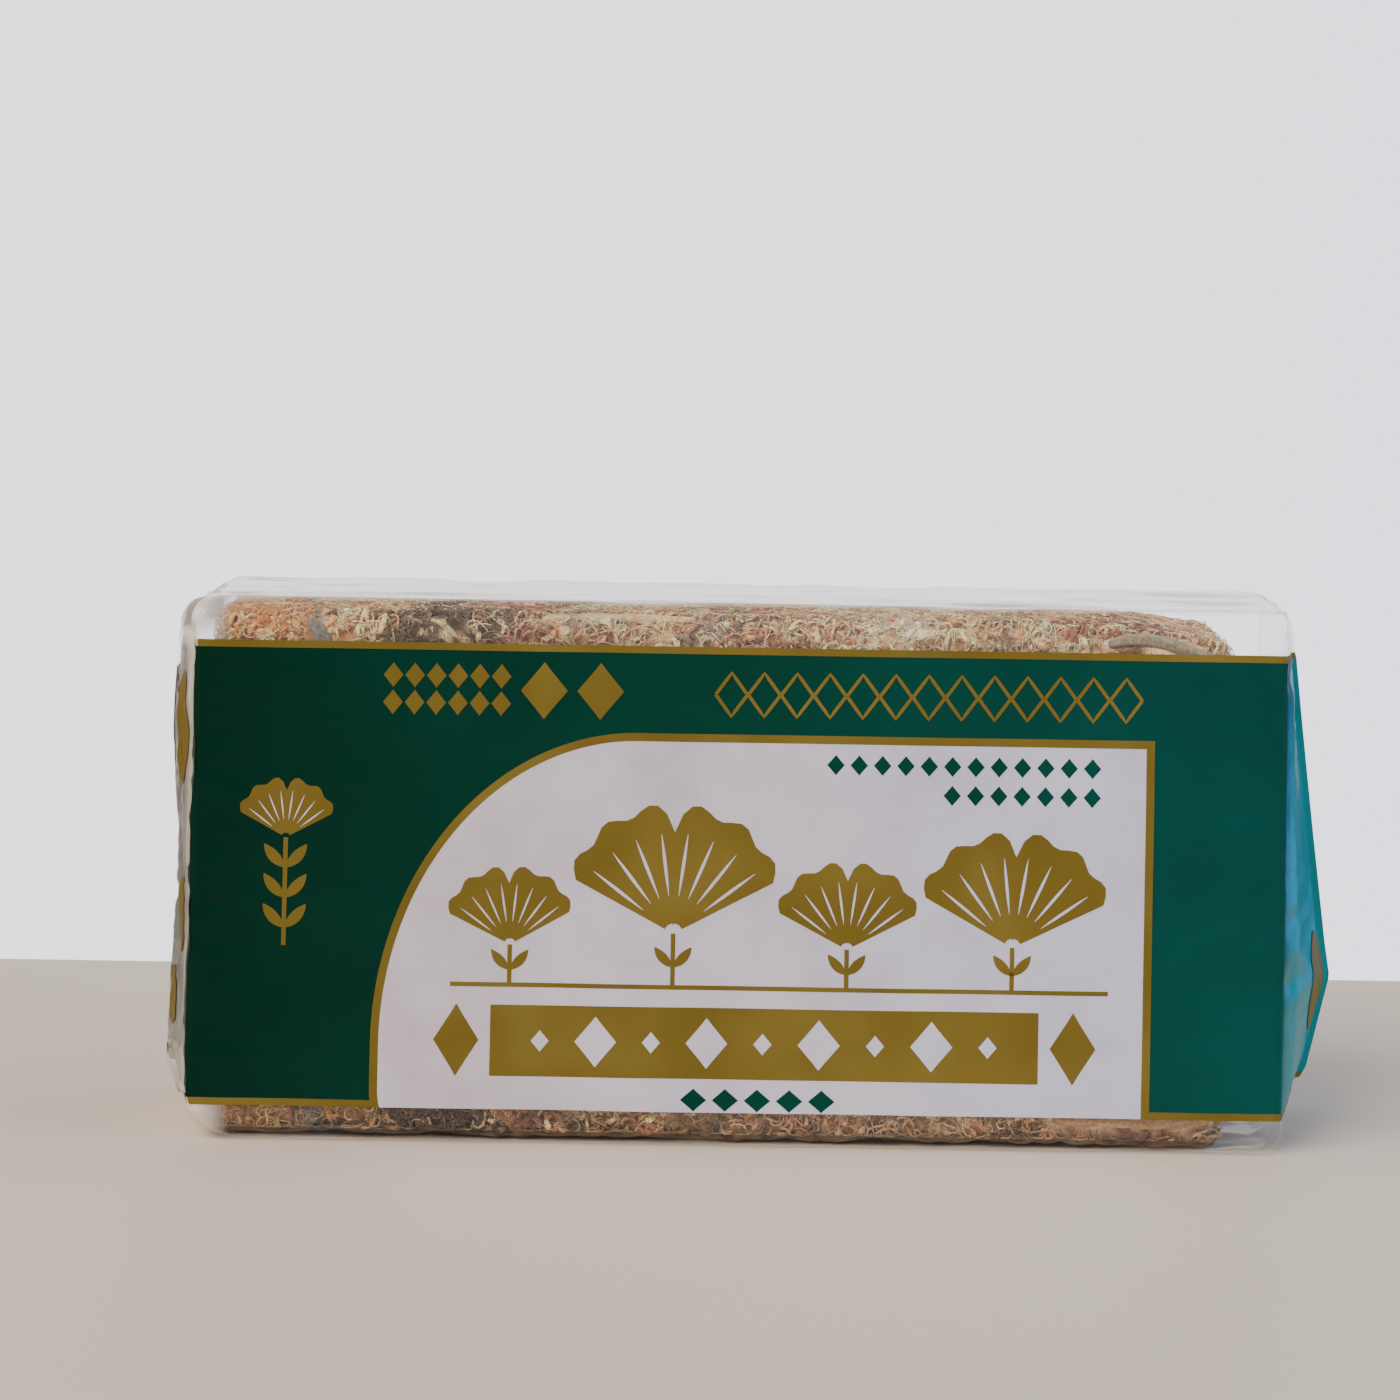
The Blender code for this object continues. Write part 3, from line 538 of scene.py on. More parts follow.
def on_film(round_at, along_at, lift):
    """Points on the film at lengths round and along it, `lift` out from its skin: the grid's
    four nearest points and their normals, blended."""
    i = np.clip(np.searchsorted(round_way, round_at, "right") - 1, 0, len(round_way) - 2)
    k = np.clip(np.searchsorted(along, along_at, "right") - 1, 0, len(along) - 2)
    s = ((round_at - round_way[i]) / (round_way[i + 1] - round_way[i]))[..., None]
    t = ((along_at - along[k]) / (along[k + 1] - along[k]))[..., None]

    def blend(values):
        """Linear in both directions: first along the film, then round it."""
        low_side = values[i, k] * (1 - t) + values[i, k + 1] * t
        return low_side * (1 - s) + (values[i + 1, k] * (1 - t) + values[i + 1, k + 1] * t) * s

    return blend(film) + unit(blend(normals)) * lift


# %% [markdown]
# ## Clear film
#
# The film is polypropylene, blown and stretched: clear when you look straight through it, and
# milky with a strong gloss when you look along it. So its alpha rises with the viewing angle, over
# a near-white colour: partly the film's own haze, and partly a painted reflection of the bright
# room. It rises more in some patches than in others, and most in the two crushed corners at the
# left. It is clearer past the panels' ends, and at the foot, so that the dark foot shows: a
# painted shade. Each such share is a line of a table: what it follows, from where to where, and
# the shares there. Fine creases that are too small for the mesh are a bump.

# %% Clear film finish
VEIL = 0.3, 0.95, 0.06, 0.95
VENT, VENT_RADIUS = (MIDDLE_X + 98 * MM, BAG_DEPTH / 2, 104 * MM), 1.5 * MM
LEFT_END = MIDDLE_X - BAG_LENGTH / 2

film_finish, tree, shader = new_finish(
    "polypropylene_film_blown",
    Base_Color=linear("#fdf1e4"),
    Roughness=0.16,
    IOR=1.49,
    Specular_IOR_Level=0.6,
)
place = add(tree, "TexCoord", out="Object")
stretched = add(tree, "Mapping", {"Vector": place, "Scale": (0.35, 1.0, 1.0)})
creases = add(tree, "TexNoise", {"Vector": stretched, "Scale": 1 / (9 * MM), "Detail": 5.0})
bump = add(tree, "Bump", {"Strength": 0.25, "Distance": 0.6 * MM, "Height": creases})
tree.links.new(bump, shader.inputs["Normal"])
# Facing sets the milky share: the film's own haze, and a painted reflection of the bright room at
# grazing views.
facing = add(tree, "LayerWeight", {"Blend": 0.5}, out="Facing")
span = {"Value": facing, **dict(zip(LIMITS, VEIL))}
haze_and_reflection = add(tree, "MapRange", span, interpolation_type="SMOOTHSTEP")
from_vent = add(tree, "VectorMath", {0: place, 1: VENT}, out="Value", operation="DISTANCE")
outside_vent = add(tree, "Math", {0: from_vent, 1: VENT_RADIUS}, operation="GREATER_THAN")
slow = add(tree, "TexNoise", {"Vector": stretched, "Scale": 1 / (26 * MM), "Detail": 3.0})
x = add(tree, "SeparateXYZ", {0: place}, out="X")
z = x.node.outputs["Z"]
off_middle = []
for at, middle in ((x, MIDDLE_X), (z, BAG_HEIGHT / 2)):
    away = add(tree, "Math", {0: at, 1: middle}, operation="SUBTRACT")
    off_middle.append(add(tree, "Math", {0: away}, operation="ABSOLUTE"))
veil_shares = [
    (slow, 0.35, 0.65, 0.78, 1.12),
    (off_middle[0], 119 * MM, 122 * MM, 1.0, 0.28),
    # Painted shade: the film is clearer at the foot, so the dark foot of the block shows.
    (z, 1 * MM, 9 * MM, 0.3, 1.0),
]
veil = haze_and_reflection
for value, *limits in veil_shares:
    share = add(tree, "MapRange", {"Value": value, **dict(zip(LIMITS, limits))})
    veil = add(tree, "Math", {0: veil, 1: share}, operation="MULTIPLY")
span = {"Value": x, IN_LOW: LEFT_END + 9 * MM, IN_HIGH: LEFT_END + 1 * MM, OUT_HIGH: 0.7}
crushed = add(tree, "MapRange", span)
beside_print = add(tree, "MapRange", {"Value": off_middle[1], IN_LOW: 48 * MM, IN_HIGH: 52 * MM})
corner = add(tree, "Math", {0: crushed, 1: beside_print}, operation="MULTIPLY")
alpha = add(tree, "Math", {0: veil, 1: corner}, operation="ADD", use_clamp=True)
alpha = add(tree, "Math", {0: alpha, 1: outside_vent}, operation="MULTIPLY")
tree.links.new(alpha, shader.inputs["Alpha"])
print(film_finish.name, len(tree.nodes), "nodes")

# %% [markdown]
# ### The film's skin
#
# The rings are joined into one closed skin of quads. At each free edge the ring is flat, so it is
# closed by joining every point to its twin on the other layer.

# %% Skin of the film
rows, columns = film.shape[:2]
ring = np.arange(rows + 1) % rows
corner = ring[:-1, None] * columns + np.arange(columns - 1)
above = ring[1:, None] * columns + np.arange(columns - 1)
skin = np.stack([corner, corner + 1, above + 1, above], -1).reshape(-1, 4)


def end_caps(rows):
    """The faces that close a ring of `rows` points between its front half and its back half:
    point k is joined to point rows - k, its twin on the other half."""
    k = np.arange(1, rows // 2)
    quads = np.stack([k, k + 1, rows - k - 1, rows - k], -1)
    quads = quads[quads[:, 1] < quads[:, 2]]
    triangles = [[0, 1, rows - 1]]
    if rows % 2 == 0:
        triangles.append([rows // 2 - 1, rows // 2, rows // 2 + 1])
    return quads, np.array(triangles)


cap_quads, cap_triangles = end_caps(rows)
caps = [cap_quads * columns, cap_triangles * columns]
caps += [cap[:, ::-1] + columns - 1 for cap in caps]
film_piece = new_piece("film", film.reshape(-1, 3), [skin, *caps], film_finish)
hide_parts("film_bag")

# %% [markdown]
# ## Printing ink
#
# The print is flexographic ink, laid on the film in flat colours: a deep green, an ochre gold
# and a bluish white. Each colour is a thin skin that lies on the film's own surface, so it
# follows every wrinkle. A shape is drawn flat, in lengths across the panel and heights up it,
# and then each of its points is carried onto the film.

# %% Ink finishes
GREEN_LIFT, WHITE_LIFT, GOLD_LIFT, TOP_LIFT = 0.04 * MM, 0.08 * MM, 0.13 * MM, 0.2 * MM
UNDER_GREEN = -0.14 * MM
RIDGE_LIFT, RIDGE_SPAN = 0.14 * MM, 2.5 * MM
REACH = 132 * MM
PANEL_END = 0.5 + 0.5 * 122 * MM / REACH
WING_START = PANEL_END + 0.008


def ink(name, stops, patch, bump_height, ends=None, **values):
    """Ink on film: a colour that drifts over patches of one size, under the film's gloss and
    fine ripples. ends are the colours that tint it along the bag: painted light, for the
    different light on its two ends, and for light that shines through the film on the wings,
    where no moss backs it."""
    finish, tree, shader = new_finish(name, IOR=1.49, **values)
    place = add(tree, "TexCoord", out="Object")
    patches = add(tree, "TexNoise", {"Vector": place, "Scale": 1 / patch, "Detail": 3.0})
    shade = add(tree, "ValToRGB", {0: patches}, stops)
    # The ends' tint is painted light, multiplied into the ink's colour.
    if ends is not None:
        x = add(tree, "SeparateXYZ", {0: place}, out="X")
        span = {"Value": x, IN_LOW: MIDDLE_X - REACH, IN_HIGH: MIDDLE_X + REACH}
        across = add(tree, "MapRange", span)
        tint = add(tree, "ValToRGB", {0: across}, ends)
        both = {SHARE: 1.0, COLOUR_A: shade, COLOUR_B: tint}
        shade = add(tree, "Mix", both, **MULTIPLY)
    tree.links.new(shade, shader.inputs["Base Color"])
    long = add(tree, "Mapping", {"Vector": place, "Scale": (0.4, 1.0, 1.0)})
    ripples = add(tree, "TexNoise", {"Vector": long, "Scale": 1 / (11 * MM), "Detail": 4.0})
    sockets = {"Strength": 0.35, "Distance": bump_height, "Height": ripples}
    tree.links.new(add(tree, "Bump", sockets), shader.inputs["Normal"])
    print(name, len(tree.nodes), "nodes")
    return finish


greens = [(0.3, "#00b6ac"), (0.7, "#00cfca")]
# Painted light: darker green at the left end, lighter towards the right, and bright teal on the
# right wing for light through the film.
ends = [(0.05, "#00382b"), (0.5, "#004f43"), (PANEL_END, "#005d59"), (WING_START, "#00a4ae")]
gloss = {"Roughness": 0.28, "Specular_IOR_Level": 0.06}
green_ink = ink("green_ink_on_film", greens, 45 * MM, 0.8 * MM, ends, **gloss)
whites = [(0.3, "#c9c6cf"), (0.5, "#d3d2dc"), (0.7, "#dad9e2")]
# Painted light: a warm tint at the left end and a cool blue one at the right, for the warm and
# cool lamps.
ends = [(0.25, "#f6ecec"), (0.75, "#f0f1ff")]
gloss = {"Roughness": 0.34, "Specular_IOR_Level": 0.25}
white_ink = ink("white_ink_on_film", whites, 22 * MM, 0.8 * MM, ends, **gloss)
golds = [(0.3, "#66561f"), (0.5, "#6e5d25"), (0.7, "#77672d")]
gloss = {"Roughness": 0.5, "Specular_IOR_Level": 0.06}
gold_ink = ink("gold_ink_on_film", golds, 30 * MM, 0.6 * MM, **gloss)

# %% [markdown]
# ### Drawing on the film
#
# A shape of ink is a grid of points, in lengths across a panel and heights up it. A drawing
# gathers all the shapes of one ink, lays their points on the film, and becomes one piece.

# %% Drawings
FRONT, BACK = 0, 1


def on_panel(face, across, height, lift):
    """Points of the front or back panel. `across` runs to the right as you face the panel."""
    if face == FRONT:
        return on_film(front(height), across, lift)
    return on_film(back(height), -across, lift)


class Drawing:
    """Flat shapes of one ink, gathered into one mesh on the film."""

    def __init__(self):
        self.points, self.faces, self.count = [], [], 0

    def grid(self, points):
        """Add a grid of points already on the film, its rows upward, its columns rightward."""
        rows, columns = points.shape[:2]
        self.points.append(points.reshape(-1, 3))
        self.faces.append(grid_faces(rows, columns, self.count))
        self.count += rows * columns

    def shape(self, face, across, height, lift):
        """Add a grid given by its lengths across the panel and heights up it."""
        self.grid(on_panel(face, across, height, lift))

    def box(self, face, left, right, foot, head, lift):
        """Add a plain rectangle."""
        u, v = np.meshgrid(steps([left, right], ALONG_STEP), steps([foot, head], ROUND_STEP))
        self.shape(face, u, v, lift)

    def line(self, face, path, width, lift):
        """Add a line of one width along a path: each point has one twin on either side of it,
        along the path's normal. A list of widths makes it swell and taper."""
        way = unit(np.gradient(path, axis=0))
        normal = np.stack([-way[:, 1], way[:, 0]], -1)
        offset = np.array([-0.5, 0.0, 0.5])[:, None, None]
        rails = path + offset * normal * np.broadcast_to(width, len(path))[:, None]
        self.shape(face, rails[..., 0], rails[..., 1], lift)

    def leaf(self, face, foot, angle, length, width, bend, lift):
        """Add a leaf: a midline that turns by `bend` over its length, and a width that follows
        the sine of the way along it."""
        t = np.linspace(0, 1, 12)
        heading = angle + bend * t
        step = np.stack([np.cos(heading), np.sin(heading)], -1) * length / 11
        path = np.asarray(foot) + np.cumsum(step, axis=0) - step[0]
        self.line(face, path, width * np.sin(np.pi * np.clip(t, 0.02, 0.98)) ** 0.75, lift)

    def piece(self, name, finish, slot):
        """Make the mesh piece."""
        return new_piece(name, np.concatenate(self.points), self.faces, finish)


# %% [markdown]
# ## The print
#
# The green band runs round the bag's panels and ends, edged with gold. On the folded left fin
# the green is on the film's inner side, so it is seen dimly through it. The pale panel has one
# large round corner and a gold border. Its ornaments are this script's own.

# %% Band, panel and border
PANEL_LEFT, PANEL_RIGHT = -78.5 * MM, 90.5 * MM
PANEL_FOOT, PANEL_TOP = BAND[0] - STRIPE, 91.5 * MM
CORNER_WIDE, CORNER_HIGH = 57 * MM, 69 * MM
BORDER = 1.8 * MM
PRINT_LEFT = -(BAG_LENGTH / 2 + WING_WIDTH + 4 * MM)
PRINT_RIGHT = BAG_LENGTH / 2 + WING_WIDTH + FIN_WIDTH[RIGHT]
FIN_MARGIN = 2 * MM

green, white, gold = Drawing(), Drawing(), Drawing()
printed = np.flatnonzero((along >= PRINT_LEFT) & (along <= PRINT_RIGHT))
NEARLY = 1e-6
for foot, head in ((front(BAND[0]), front(BAND[1])), (back(BACK_BAND_TOP), back(BAND[0]))):
    band = np.flatnonzero((round_way > foot - NEARLY) & (round_way < head + NEARLY))
    patch = np.ix_(band, printed)
    from_ridge = (np.abs(along[printed]) - BAG_LENGTH / 2 - WING_WIDTH - 1 * MM) / RIDGE_SPAN
    lift = GREEN_LIFT + RIDGE_LIFT * np.exp(-(from_ridge**2))
    green.grid(film[patch] + normals[patch] * lift[:, None])
fin_part = np.flatnonzero((along < PRINT_LEFT) & (along > along[0] + FIN_MARGIN))
on_back = (round_way > back(BACK_BAND_TOP) - NEARLY) & (round_way < back(BAND[0]))
band = np.flatnonzero(on_back)
patch = np.ix_(band, fin_part)
green.grid(film[patch] + normals[patch] * UNDER_GREEN)

left_of_panel = [along[printed[0]], PANEL_LEFT - BORDER / 2]
right_of_panel = [PANEL_RIGHT + BORDER / 2, along[printed[-1]]]
for face, head in ((FRONT, BAND[1]), (BACK, BACK_BAND_TOP)):
    gold.box(face, along[printed[0]], along[printed[-1]], head, head + STRIPE, GOLD_LIFT)
    for run in (left_of_panel, right_of_panel):
        gold.box(face, *run, BAND[0] - STRIPE, BAND[0], GOLD_LIFT)


def panel_top(across):
    """The panel's upper edge: a quarter ellipse at the left, then level."""
    in_corner = np.clip((PANEL_LEFT + CORNER_WIDE - across) / CORNER_WIDE, 0, 1)
    return PANEL_TOP - CORNER_HIGH * (1 - np.sqrt(1 - in_corner**2))


PANEL_ROWS = 58
swing = np.linspace(0, math.pi / 2, 44)
corner_across = PANEL_LEFT + CORNER_WIDE * (1 - np.cos(swing))
corner_height = PANEL_TOP - CORNER_HIGH * (1 - np.sin(swing))
rest_across = steps([PANEL_LEFT + CORNER_WIDE, PANEL_RIGHT], ALONG_STEP)[1:]
columns_at = np.concatenate([corner_across, rest_across])
up_panel = np.linspace(0, 1, PANEL_ROWS)[:, None]
for face in (FRONT, BACK):
    u = np.broadcast_to(columns_at, (PANEL_ROWS, len(columns_at)))
    v = PANEL_FOOT + up_panel * (panel_top(columns_at) - PANEL_FOOT)
    white.shape(face, u, v, WHITE_LIFT)
    rise = steps([PANEL_FOOT, PANEL_TOP - CORNER_HIGH], ALONG_STEP)[:-1]
    side = np.stack([np.full(len(rise), PANEL_LEFT), rise], -1)
    arch = np.stack([corner_across, corner_height], -1)
    top = np.stack([rest_across, np.full(len(rest_across), PANEL_TOP)], -1)
    gold.line(face, np.concatenate([side, arch, top]), BORDER, GOLD_LIFT)
    half = BORDER / 2
    gold.box(face, PANEL_RIGHT - half, PANEL_RIGHT + half, PANEL_FOOT, PANEL_TOP + half, GOLD_LIFT)

# %% [markdown]
# ### Ornaments
#
# The ornaments are fan-shaped leaves and diamonds. A fan has a waved edge with a cleft, and pale
# ribs. A diamond is plain or only outlined.

# %% Fans, stalks and diamonds
FAN_SPREAD = 1.08


def fan(face, foot, angle, size):
    """A fan-shaped leaf: a grid in polar lengths. Its outer edge waves, and is cleft in the
    middle, and pale ribs run out from its foot."""
    turn = np.linspace(-1, 1, 33)
    edge = size * (1 - 0.035 * np.cos(turn * 18) - 0.16 * np.exp(-((turn / 0.05) ** 2)))
    edge *= 1 - 0.1 * turn**4
    out = np.linspace(0.08, 1, 12)[:, None]
    way = angle - turn * FAN_SPREAD
    u = foot[0] + out * edge * np.cos(way)
    v = foot[1] + out * edge * np.sin(way)
    gold.shape(face, u, v, GOLD_LIFT)
    for rib in np.linspace(-0.85, 0.85, 8):
        way = angle - rib * FAN_SPREAD
        start = np.asarray(foot) + 0.3 * size * np.array([math.cos(way), math.sin(way)])
        white.leaf(face, start, way, size * 0.5, size * 0.026, 0, TOP_LIFT)


def stalk(face, foot, head, pairs, size):
    """A straight stem from foot to head, with pairs of small leaves on it."""
    foot, head = np.asarray(foot), np.asarray(head)
    gold.line(face, foot + (head - foot) * np.linspace(0, 1, 12)[:, None], 1.0 * MM, GOLD_LIFT)
    angle = math.atan2(*(head - foot)[::-1])
    for at in (np.arange(pairs) + 0.6) / (pairs + 0.6):
        for hand in (-1, 1):
            place = foot + (head - foot) * at
            gold.leaf(face, place, angle + hand * 0.9, size, size * 0.36, -hand * 0.3, GOLD_LIFT)


def diamond(drawing, across, height, half_wide, half_high, lift=GOLD_LIFT):
    """A diamond on the front: at a share v of its half height, it is 1 - |v| of its half width
    wide."""
    u, v = np.meshgrid(np.linspace(-1, 1, 5), np.linspace(-1, 1, 9))
    width = np.maximum(1 - np.abs(v), 0.02) * half_wide
    drawing.shape(FRONT, across + u * width, height + v * half_high, lift)


def outlined_diamond(across, height, half_wide, half_high, width):
    """A gold diamond on the front, drawn as a thin line: an upper and a lower chevron."""
    for hand in (-1, 1):
        u = np.linspace(-1, 1, 9)
        path = np.stack([u * half_wide, hand * (1 - np.abs(u)) * half_high], -1)
        gold.line(FRONT, path + [across, height], width, GOLD_LIFT)


# %% [markdown]
# ### Where the ornaments stand
#
# Four fans stand on a ground line over the bar, and one grows up the green at the left. The back
# has one large fan. The rows of diamonds are evenly spaced.

# %% Ornaments
FANS = [(-49, 45, 1.6, 17), (-13, 48, 1.57, 28), (25, 45, 1.57, 19), (61, 46, 1.54, 25)]
GROUND = 36 * MM
GROUND_HALF = 0.5 * MM
BAR = (-53 * MM, 67 * MM, 15.5 * MM, 31.5 * MM)
HEADER = 101.2 * MM
for across, height, angle, size in FANS:
    foot = (across * MM, height * MM)
    stalk(FRONT, (across * MM, GROUND), foot, 1, 6 * MM)
    fan(FRONT, foot, angle, size * MM)
line_foot, line_head = GROUND - GROUND_HALF, GROUND + GROUND_HALF
gold.box(FRONT, -62 * MM, 82 * MM, line_foot, line_head, GOLD_LIFT + 0.01 * MM)
stalk(FRONT, (-99 * MM, 44 * MM), (-99 * MM, 68 * MM), 3, 7 * MM)
fan(FRONT, (-99 * MM, 68 * MM), 1.57, 13 * MM)
stalk(BACK, (-2 * MM, 20 * MM), (-2 * MM, 44 * MM), 2, 9 * MM)
fan(BACK, (-2 * MM, 44 * MM), 1.57, 34 * MM)
gold.box(FRONT, *BAR, GOLD_LIFT)
bar_middle = (BAR[2] + BAR[3]) / 2
for across in (BAR[0] - 7.5 * MM, BAR[1] + 7.5 * MM):
    diamond(gold, across, bar_middle, 5 * MM, 8 * MM)
for number, across in enumerate(np.linspace(-42, 56, 9) * MM):
    sides = (4.6 * MM, 5.6 * MM) if number % 2 else (2.0 * MM, 2.4 * MM)
    diamond(white, across, bar_middle, *sides, TOP_LIFT)
for across in np.linspace(-1, 85, 13) * MM:
    outlined_diamond(across, HEADER, 3.5 * MM, 4.8 * MM, 0.75 * MM)
for across in np.linspace(-76, -52, 6) * MM:
    for height in (HEADER + 3.2 * MM, HEADER - 2.8 * MM):
        diamond(gold, across, height, 2.2 * MM, 2.7 * MM)
for across in (-42.5 * MM, -30 * MM):
    diamond(gold, across, HEADER + 0.2 * MM, 5.2 * MM, 6.2 * MM)
for across in np.linspace(-8, 20, 5) * MM:
    diamond(green, across, 10.8 * MM, 2.9 * MM, 2.5 * MM)
for height, first, count in ((86, 22, 12), (79.6, 47.4, 7)):
    for across in (first + np.arange(count) * 5.08) * MM:
        diamond(green, across, height * MM, 1.9 * MM, 2.2 * MM)
print("shapes of gold ink:", len(gold.points), "green:", len(green.points))

# %% [markdown]
# ### Ovals
#
# Plain gold ovals stand on the ends: three on the left fin, and one beside the right seal.

# %% Ovals on the ends


def oval(half_of, along_at, height, half_long, half_high):
    """A gold ellipse on an end: rings of points from its middle out to its edge."""
    out = np.linspace(0.02, 1, 7)[:, None]
    turn = -np.linspace(0, 2 * math.pi, 41)
    u = along_at + half_long * out * np.cos(turn)
    v = height + half_high * out * np.sin(turn)
    gold.grid(on_film(half_of(v), u, TOP_LIFT)[:, :: 1 if half_of is back else -1])


LEFT_FIN = -(BAG_LENGTH / 2 + WING_WIDTH + 1 * MM)
oval(back, LEFT_FIN - 21 * MM, 95 * MM, 7.5 * MM, 15 * MM)
oval(back, LEFT_FIN - 25 * MM, 46 * MM, 3.5 * MM, 10 * MM)
oval(back, LEFT_FIN - 16 * MM, 23 * MM, 6 * MM, 8 * MM)
oval(front, BAG_LENGTH / 2 + 27.6 * MM, 33 * MM, 5.2 * MM, 12 * MM)
green.piece("print_green", green_ink, "green_ink")
white.piece("print_white", white_ink, "white_ink")
gold.piece("print_gold", gold_ink, "gold_ink")

# %% [markdown]
# ## The moss
#
# Dried sphagnum is a tangle of curled branches, each clothed in tiny pointed leaves, with
# finer cream fibres where branches have frayed, and broad brown scraps. A block of it is dark
# in its gaps, where shade falls, and pale on its curls. So there is a bumpy core, its colours
# painted a little darker than the strands' as that shade, and four sorts of strand stand out of
# it, thick where the clear film shows them and thinner under the print. Every strand has its
# own place, lay, curl and colour, all drawn from one seed.

# %% Size and core of the block
CORE_INSET = 2.4 * MM
CORE_FOOT = 0.8 * MM
CORE_ROUND = 3.8 * MM
CORE_CELL = 1.9 * MM
WORN = 4.0 * MM
MOSS_FOOT = 2.4 * MM
RELIEF_HIGH, HUMPS, DENTS = 1.0 * MM, 17 * MM, 8 * MM
UPPER_SPAN = 45 * MM
BLOCK_MARGIN = 0.3 * MM
moss_low, moss_high = (np.array(corner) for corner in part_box("moss_block"))
moss_low, moss_high = moss_low + 0.2 * MM, moss_high - 0.2 * MM
print("packed block's foot at", round(moss_low[2] / MM, 2), "mm")
moss_low[2] = MOSS_FOOT


def worn_top(x):
    """How much lower the block's top lies towards its right end."""
    return WORN * ease((x - MIDDLE_X - 70 * MM) / (45 * MM))


def box_faces(low, high, cell):
    """Grids of points on the six sides of a box, with outward faces. The points on an edge are
    doubled, and lie at the same place."""
    points, faces, count = [], [], 0
    for axis in range(3):
        u_axis, v_axis = (axis + 1) % 3, (axis + 2) % 3
        u = steps([low[u_axis], high[u_axis]], cell)
        v = steps([low[v_axis], high[v_axis]], cell)
        for end, sign in ((low, -1), (high, 1)):
            grid = np.empty((len(v), len(u), 3))
            grid[..., axis] = end[axis]
            grid[..., u_axis], grid[..., v_axis] = np.meshgrid(u, v)
            points.append(grid.reshape(-1, 3))
            quads = grid_faces(len(v), len(u), count)
            faces.append(quads if sign > 0 else quads[:, ::-1])
            count += grid.shape[0] * grid.shape[1]
    return np.concatenate(points), np.concatenate(faces)


def rounded(points, low, high, radius):
    """Points of a box pulled in to round edges, and the outward direction at each."""
    nearest = np.clip(points, low + radius, high - radius)
    away = unit(points - nearest)
    return nearest + away * radius, away


core_low, core_high = moss_low + CORE_INSET, moss_high - CORE_INSET
core_low[2] = CORE_FOOT
core_points, core_faces = box_faces(core_low, core_high, CORE_CELL)
core_points, core_out = rounded(core_points, core_low, core_high, CORE_ROUND)
relief = 0.6 * drift(core_points, HUMPS, 21) + 0.8 * np.abs(drift(core_points, DENTS, 22))
core_points = core_points + core_out * relief[:, None] * RELIEF_HIGH
upper = ease((core_points[:, 2] - BAG_HEIGHT / 2) / UPPER_SPAN)
core_points[:, 2] -= worn_top(core_points[:, 0]) * upper
core_points[:, 2] = np.maximum(core_points[:, 2], CORE_FOOT)
print("core of the moss:", len(core_points), "points,", len(core_faces), "quads")

# %% [markdown]
# ### Colours of the moss
#
# The block isn't one brown. Its left end is orange where the moss dried in the sun, there is a
# dark patch left of the middle with pink moss beside it, and the rest is tan and cream. Each
# strand takes one colour from a palette. A patch is a place and a size, and close to it a
# strand is more likely to take the patch's colours. Each patch below is its place along the
# bag and its radius in mm, the share of strands it takes, and its shades.

# %% Palette and patches
PALETTE = ["#ffe3b2", "#ffcc92", "#f3b07a", "#d69262", "#85573f", "#fddaa6", "#eda87e"]
SHARES = np.array([0.2, 0.24, 0.18, 0.11, 0.07, 0.14, 0.06])
LARGE_TUFT, SMALL_TUFT, WANDER = 9 * MM, 3 * MM, 5 * MM
# How dark the painted shade at the block's foot gets, and the height over which it fades.
FOOT_SHADE, FOOT_SHADE_SPAN = 0.14, 8 * MM
PATCHES = [
    (-108, 20, 0.85, ["#dc9048", "#e8a964", "#c67c3e", "#f3ca88"]),
    (-84, 9, 0.5, ["#e2a266", "#efcf98"]),
    (-93, 2.5, 0.7, ["#8f8a82", "#a39c92"]),
    (-66, 9, 0.88, ["#4a382c", "#5b4534", "#3b2c24", "#6d5442"]),
    (-50, 6, 0.75, ["#a86657", "#b87a66", "#94574b"]),
    (-34, 8, 0.45, ["#8c6a55", "#9a8672"]),
    (-5, 7, 0.5, ["#7d6250", "#8f7a69"]),
    (8, 9, 0.45, ["#b57c66", "#a56d5c"]),
    (34, 10, 0.45, ["#dfd0ae", "#e3d6b8"]),
    (62, 5, 0.45, ["#7a5a45", "#8b6a50"]),
    (88, 5, 0.75, ["#8d4f42", "#a3614f", "#744236"]),
    (104, 7, 0.5, ["#cf9d72", "#b98d66"]),
]


def linears(shades):
    """The linear colours of a list of hex shades, one row for each."""
    return np.array([linear(shade)[:3] for shade in shades])


def colours_for(places, draw):
    """A linear colour for each place: from the palette, or from a patch with a chance that
    falls with the square of the distance. Tufts of 9 mm and of 3 mm are lighter or darker, the
    foot is painted darker as shade, and each strand differs a little by a draw."""
    shades = linears(PALETTE)[draw.choice(len(PALETTE), len(places), p=SHARES)]
    wander = drift(places, 22 * MM, 31) * WANDER
    for x, radius, share, names in PATCHES:
        away = (places[:, 0] - MIDDLE_X - x * MM + wander) / (radius * MM)
        take = draw.random(len(places)) < share * np.exp(-(away**2))
        shades[take] = linears(names)[draw.integers(0, len(names), int(take.sum()))]
    tuft = 1 + 0.26 * drift(places, LARGE_TUFT, 32) + 0.2 * drift(places, SMALL_TUFT, 33)
    # Painted shade: the colour darkens towards the foot of the block.
    tuft *= FOOT_SHADE + (1 - FOOT_SHADE) * ease((places[:, 2] - 1 * MM) / FOOT_SHADE_SPAN)
    return shades * tuft[:, None] * draw.uniform(0.86, 1.2, (len(places), 1))


def paint(piece, shades):
    """Store a linear colour for each point of a piece, as the attribute `shade`."""
    layer = piece.data.attributes.new("shade", "FLOAT_COLOR", "POINT")
    values = np.concatenate([np.clip(shades, 0, 1), np.ones((len(shades), 1))], 1)
    layer.data.foreach_set("color", values.astype(np.float32).ravel())


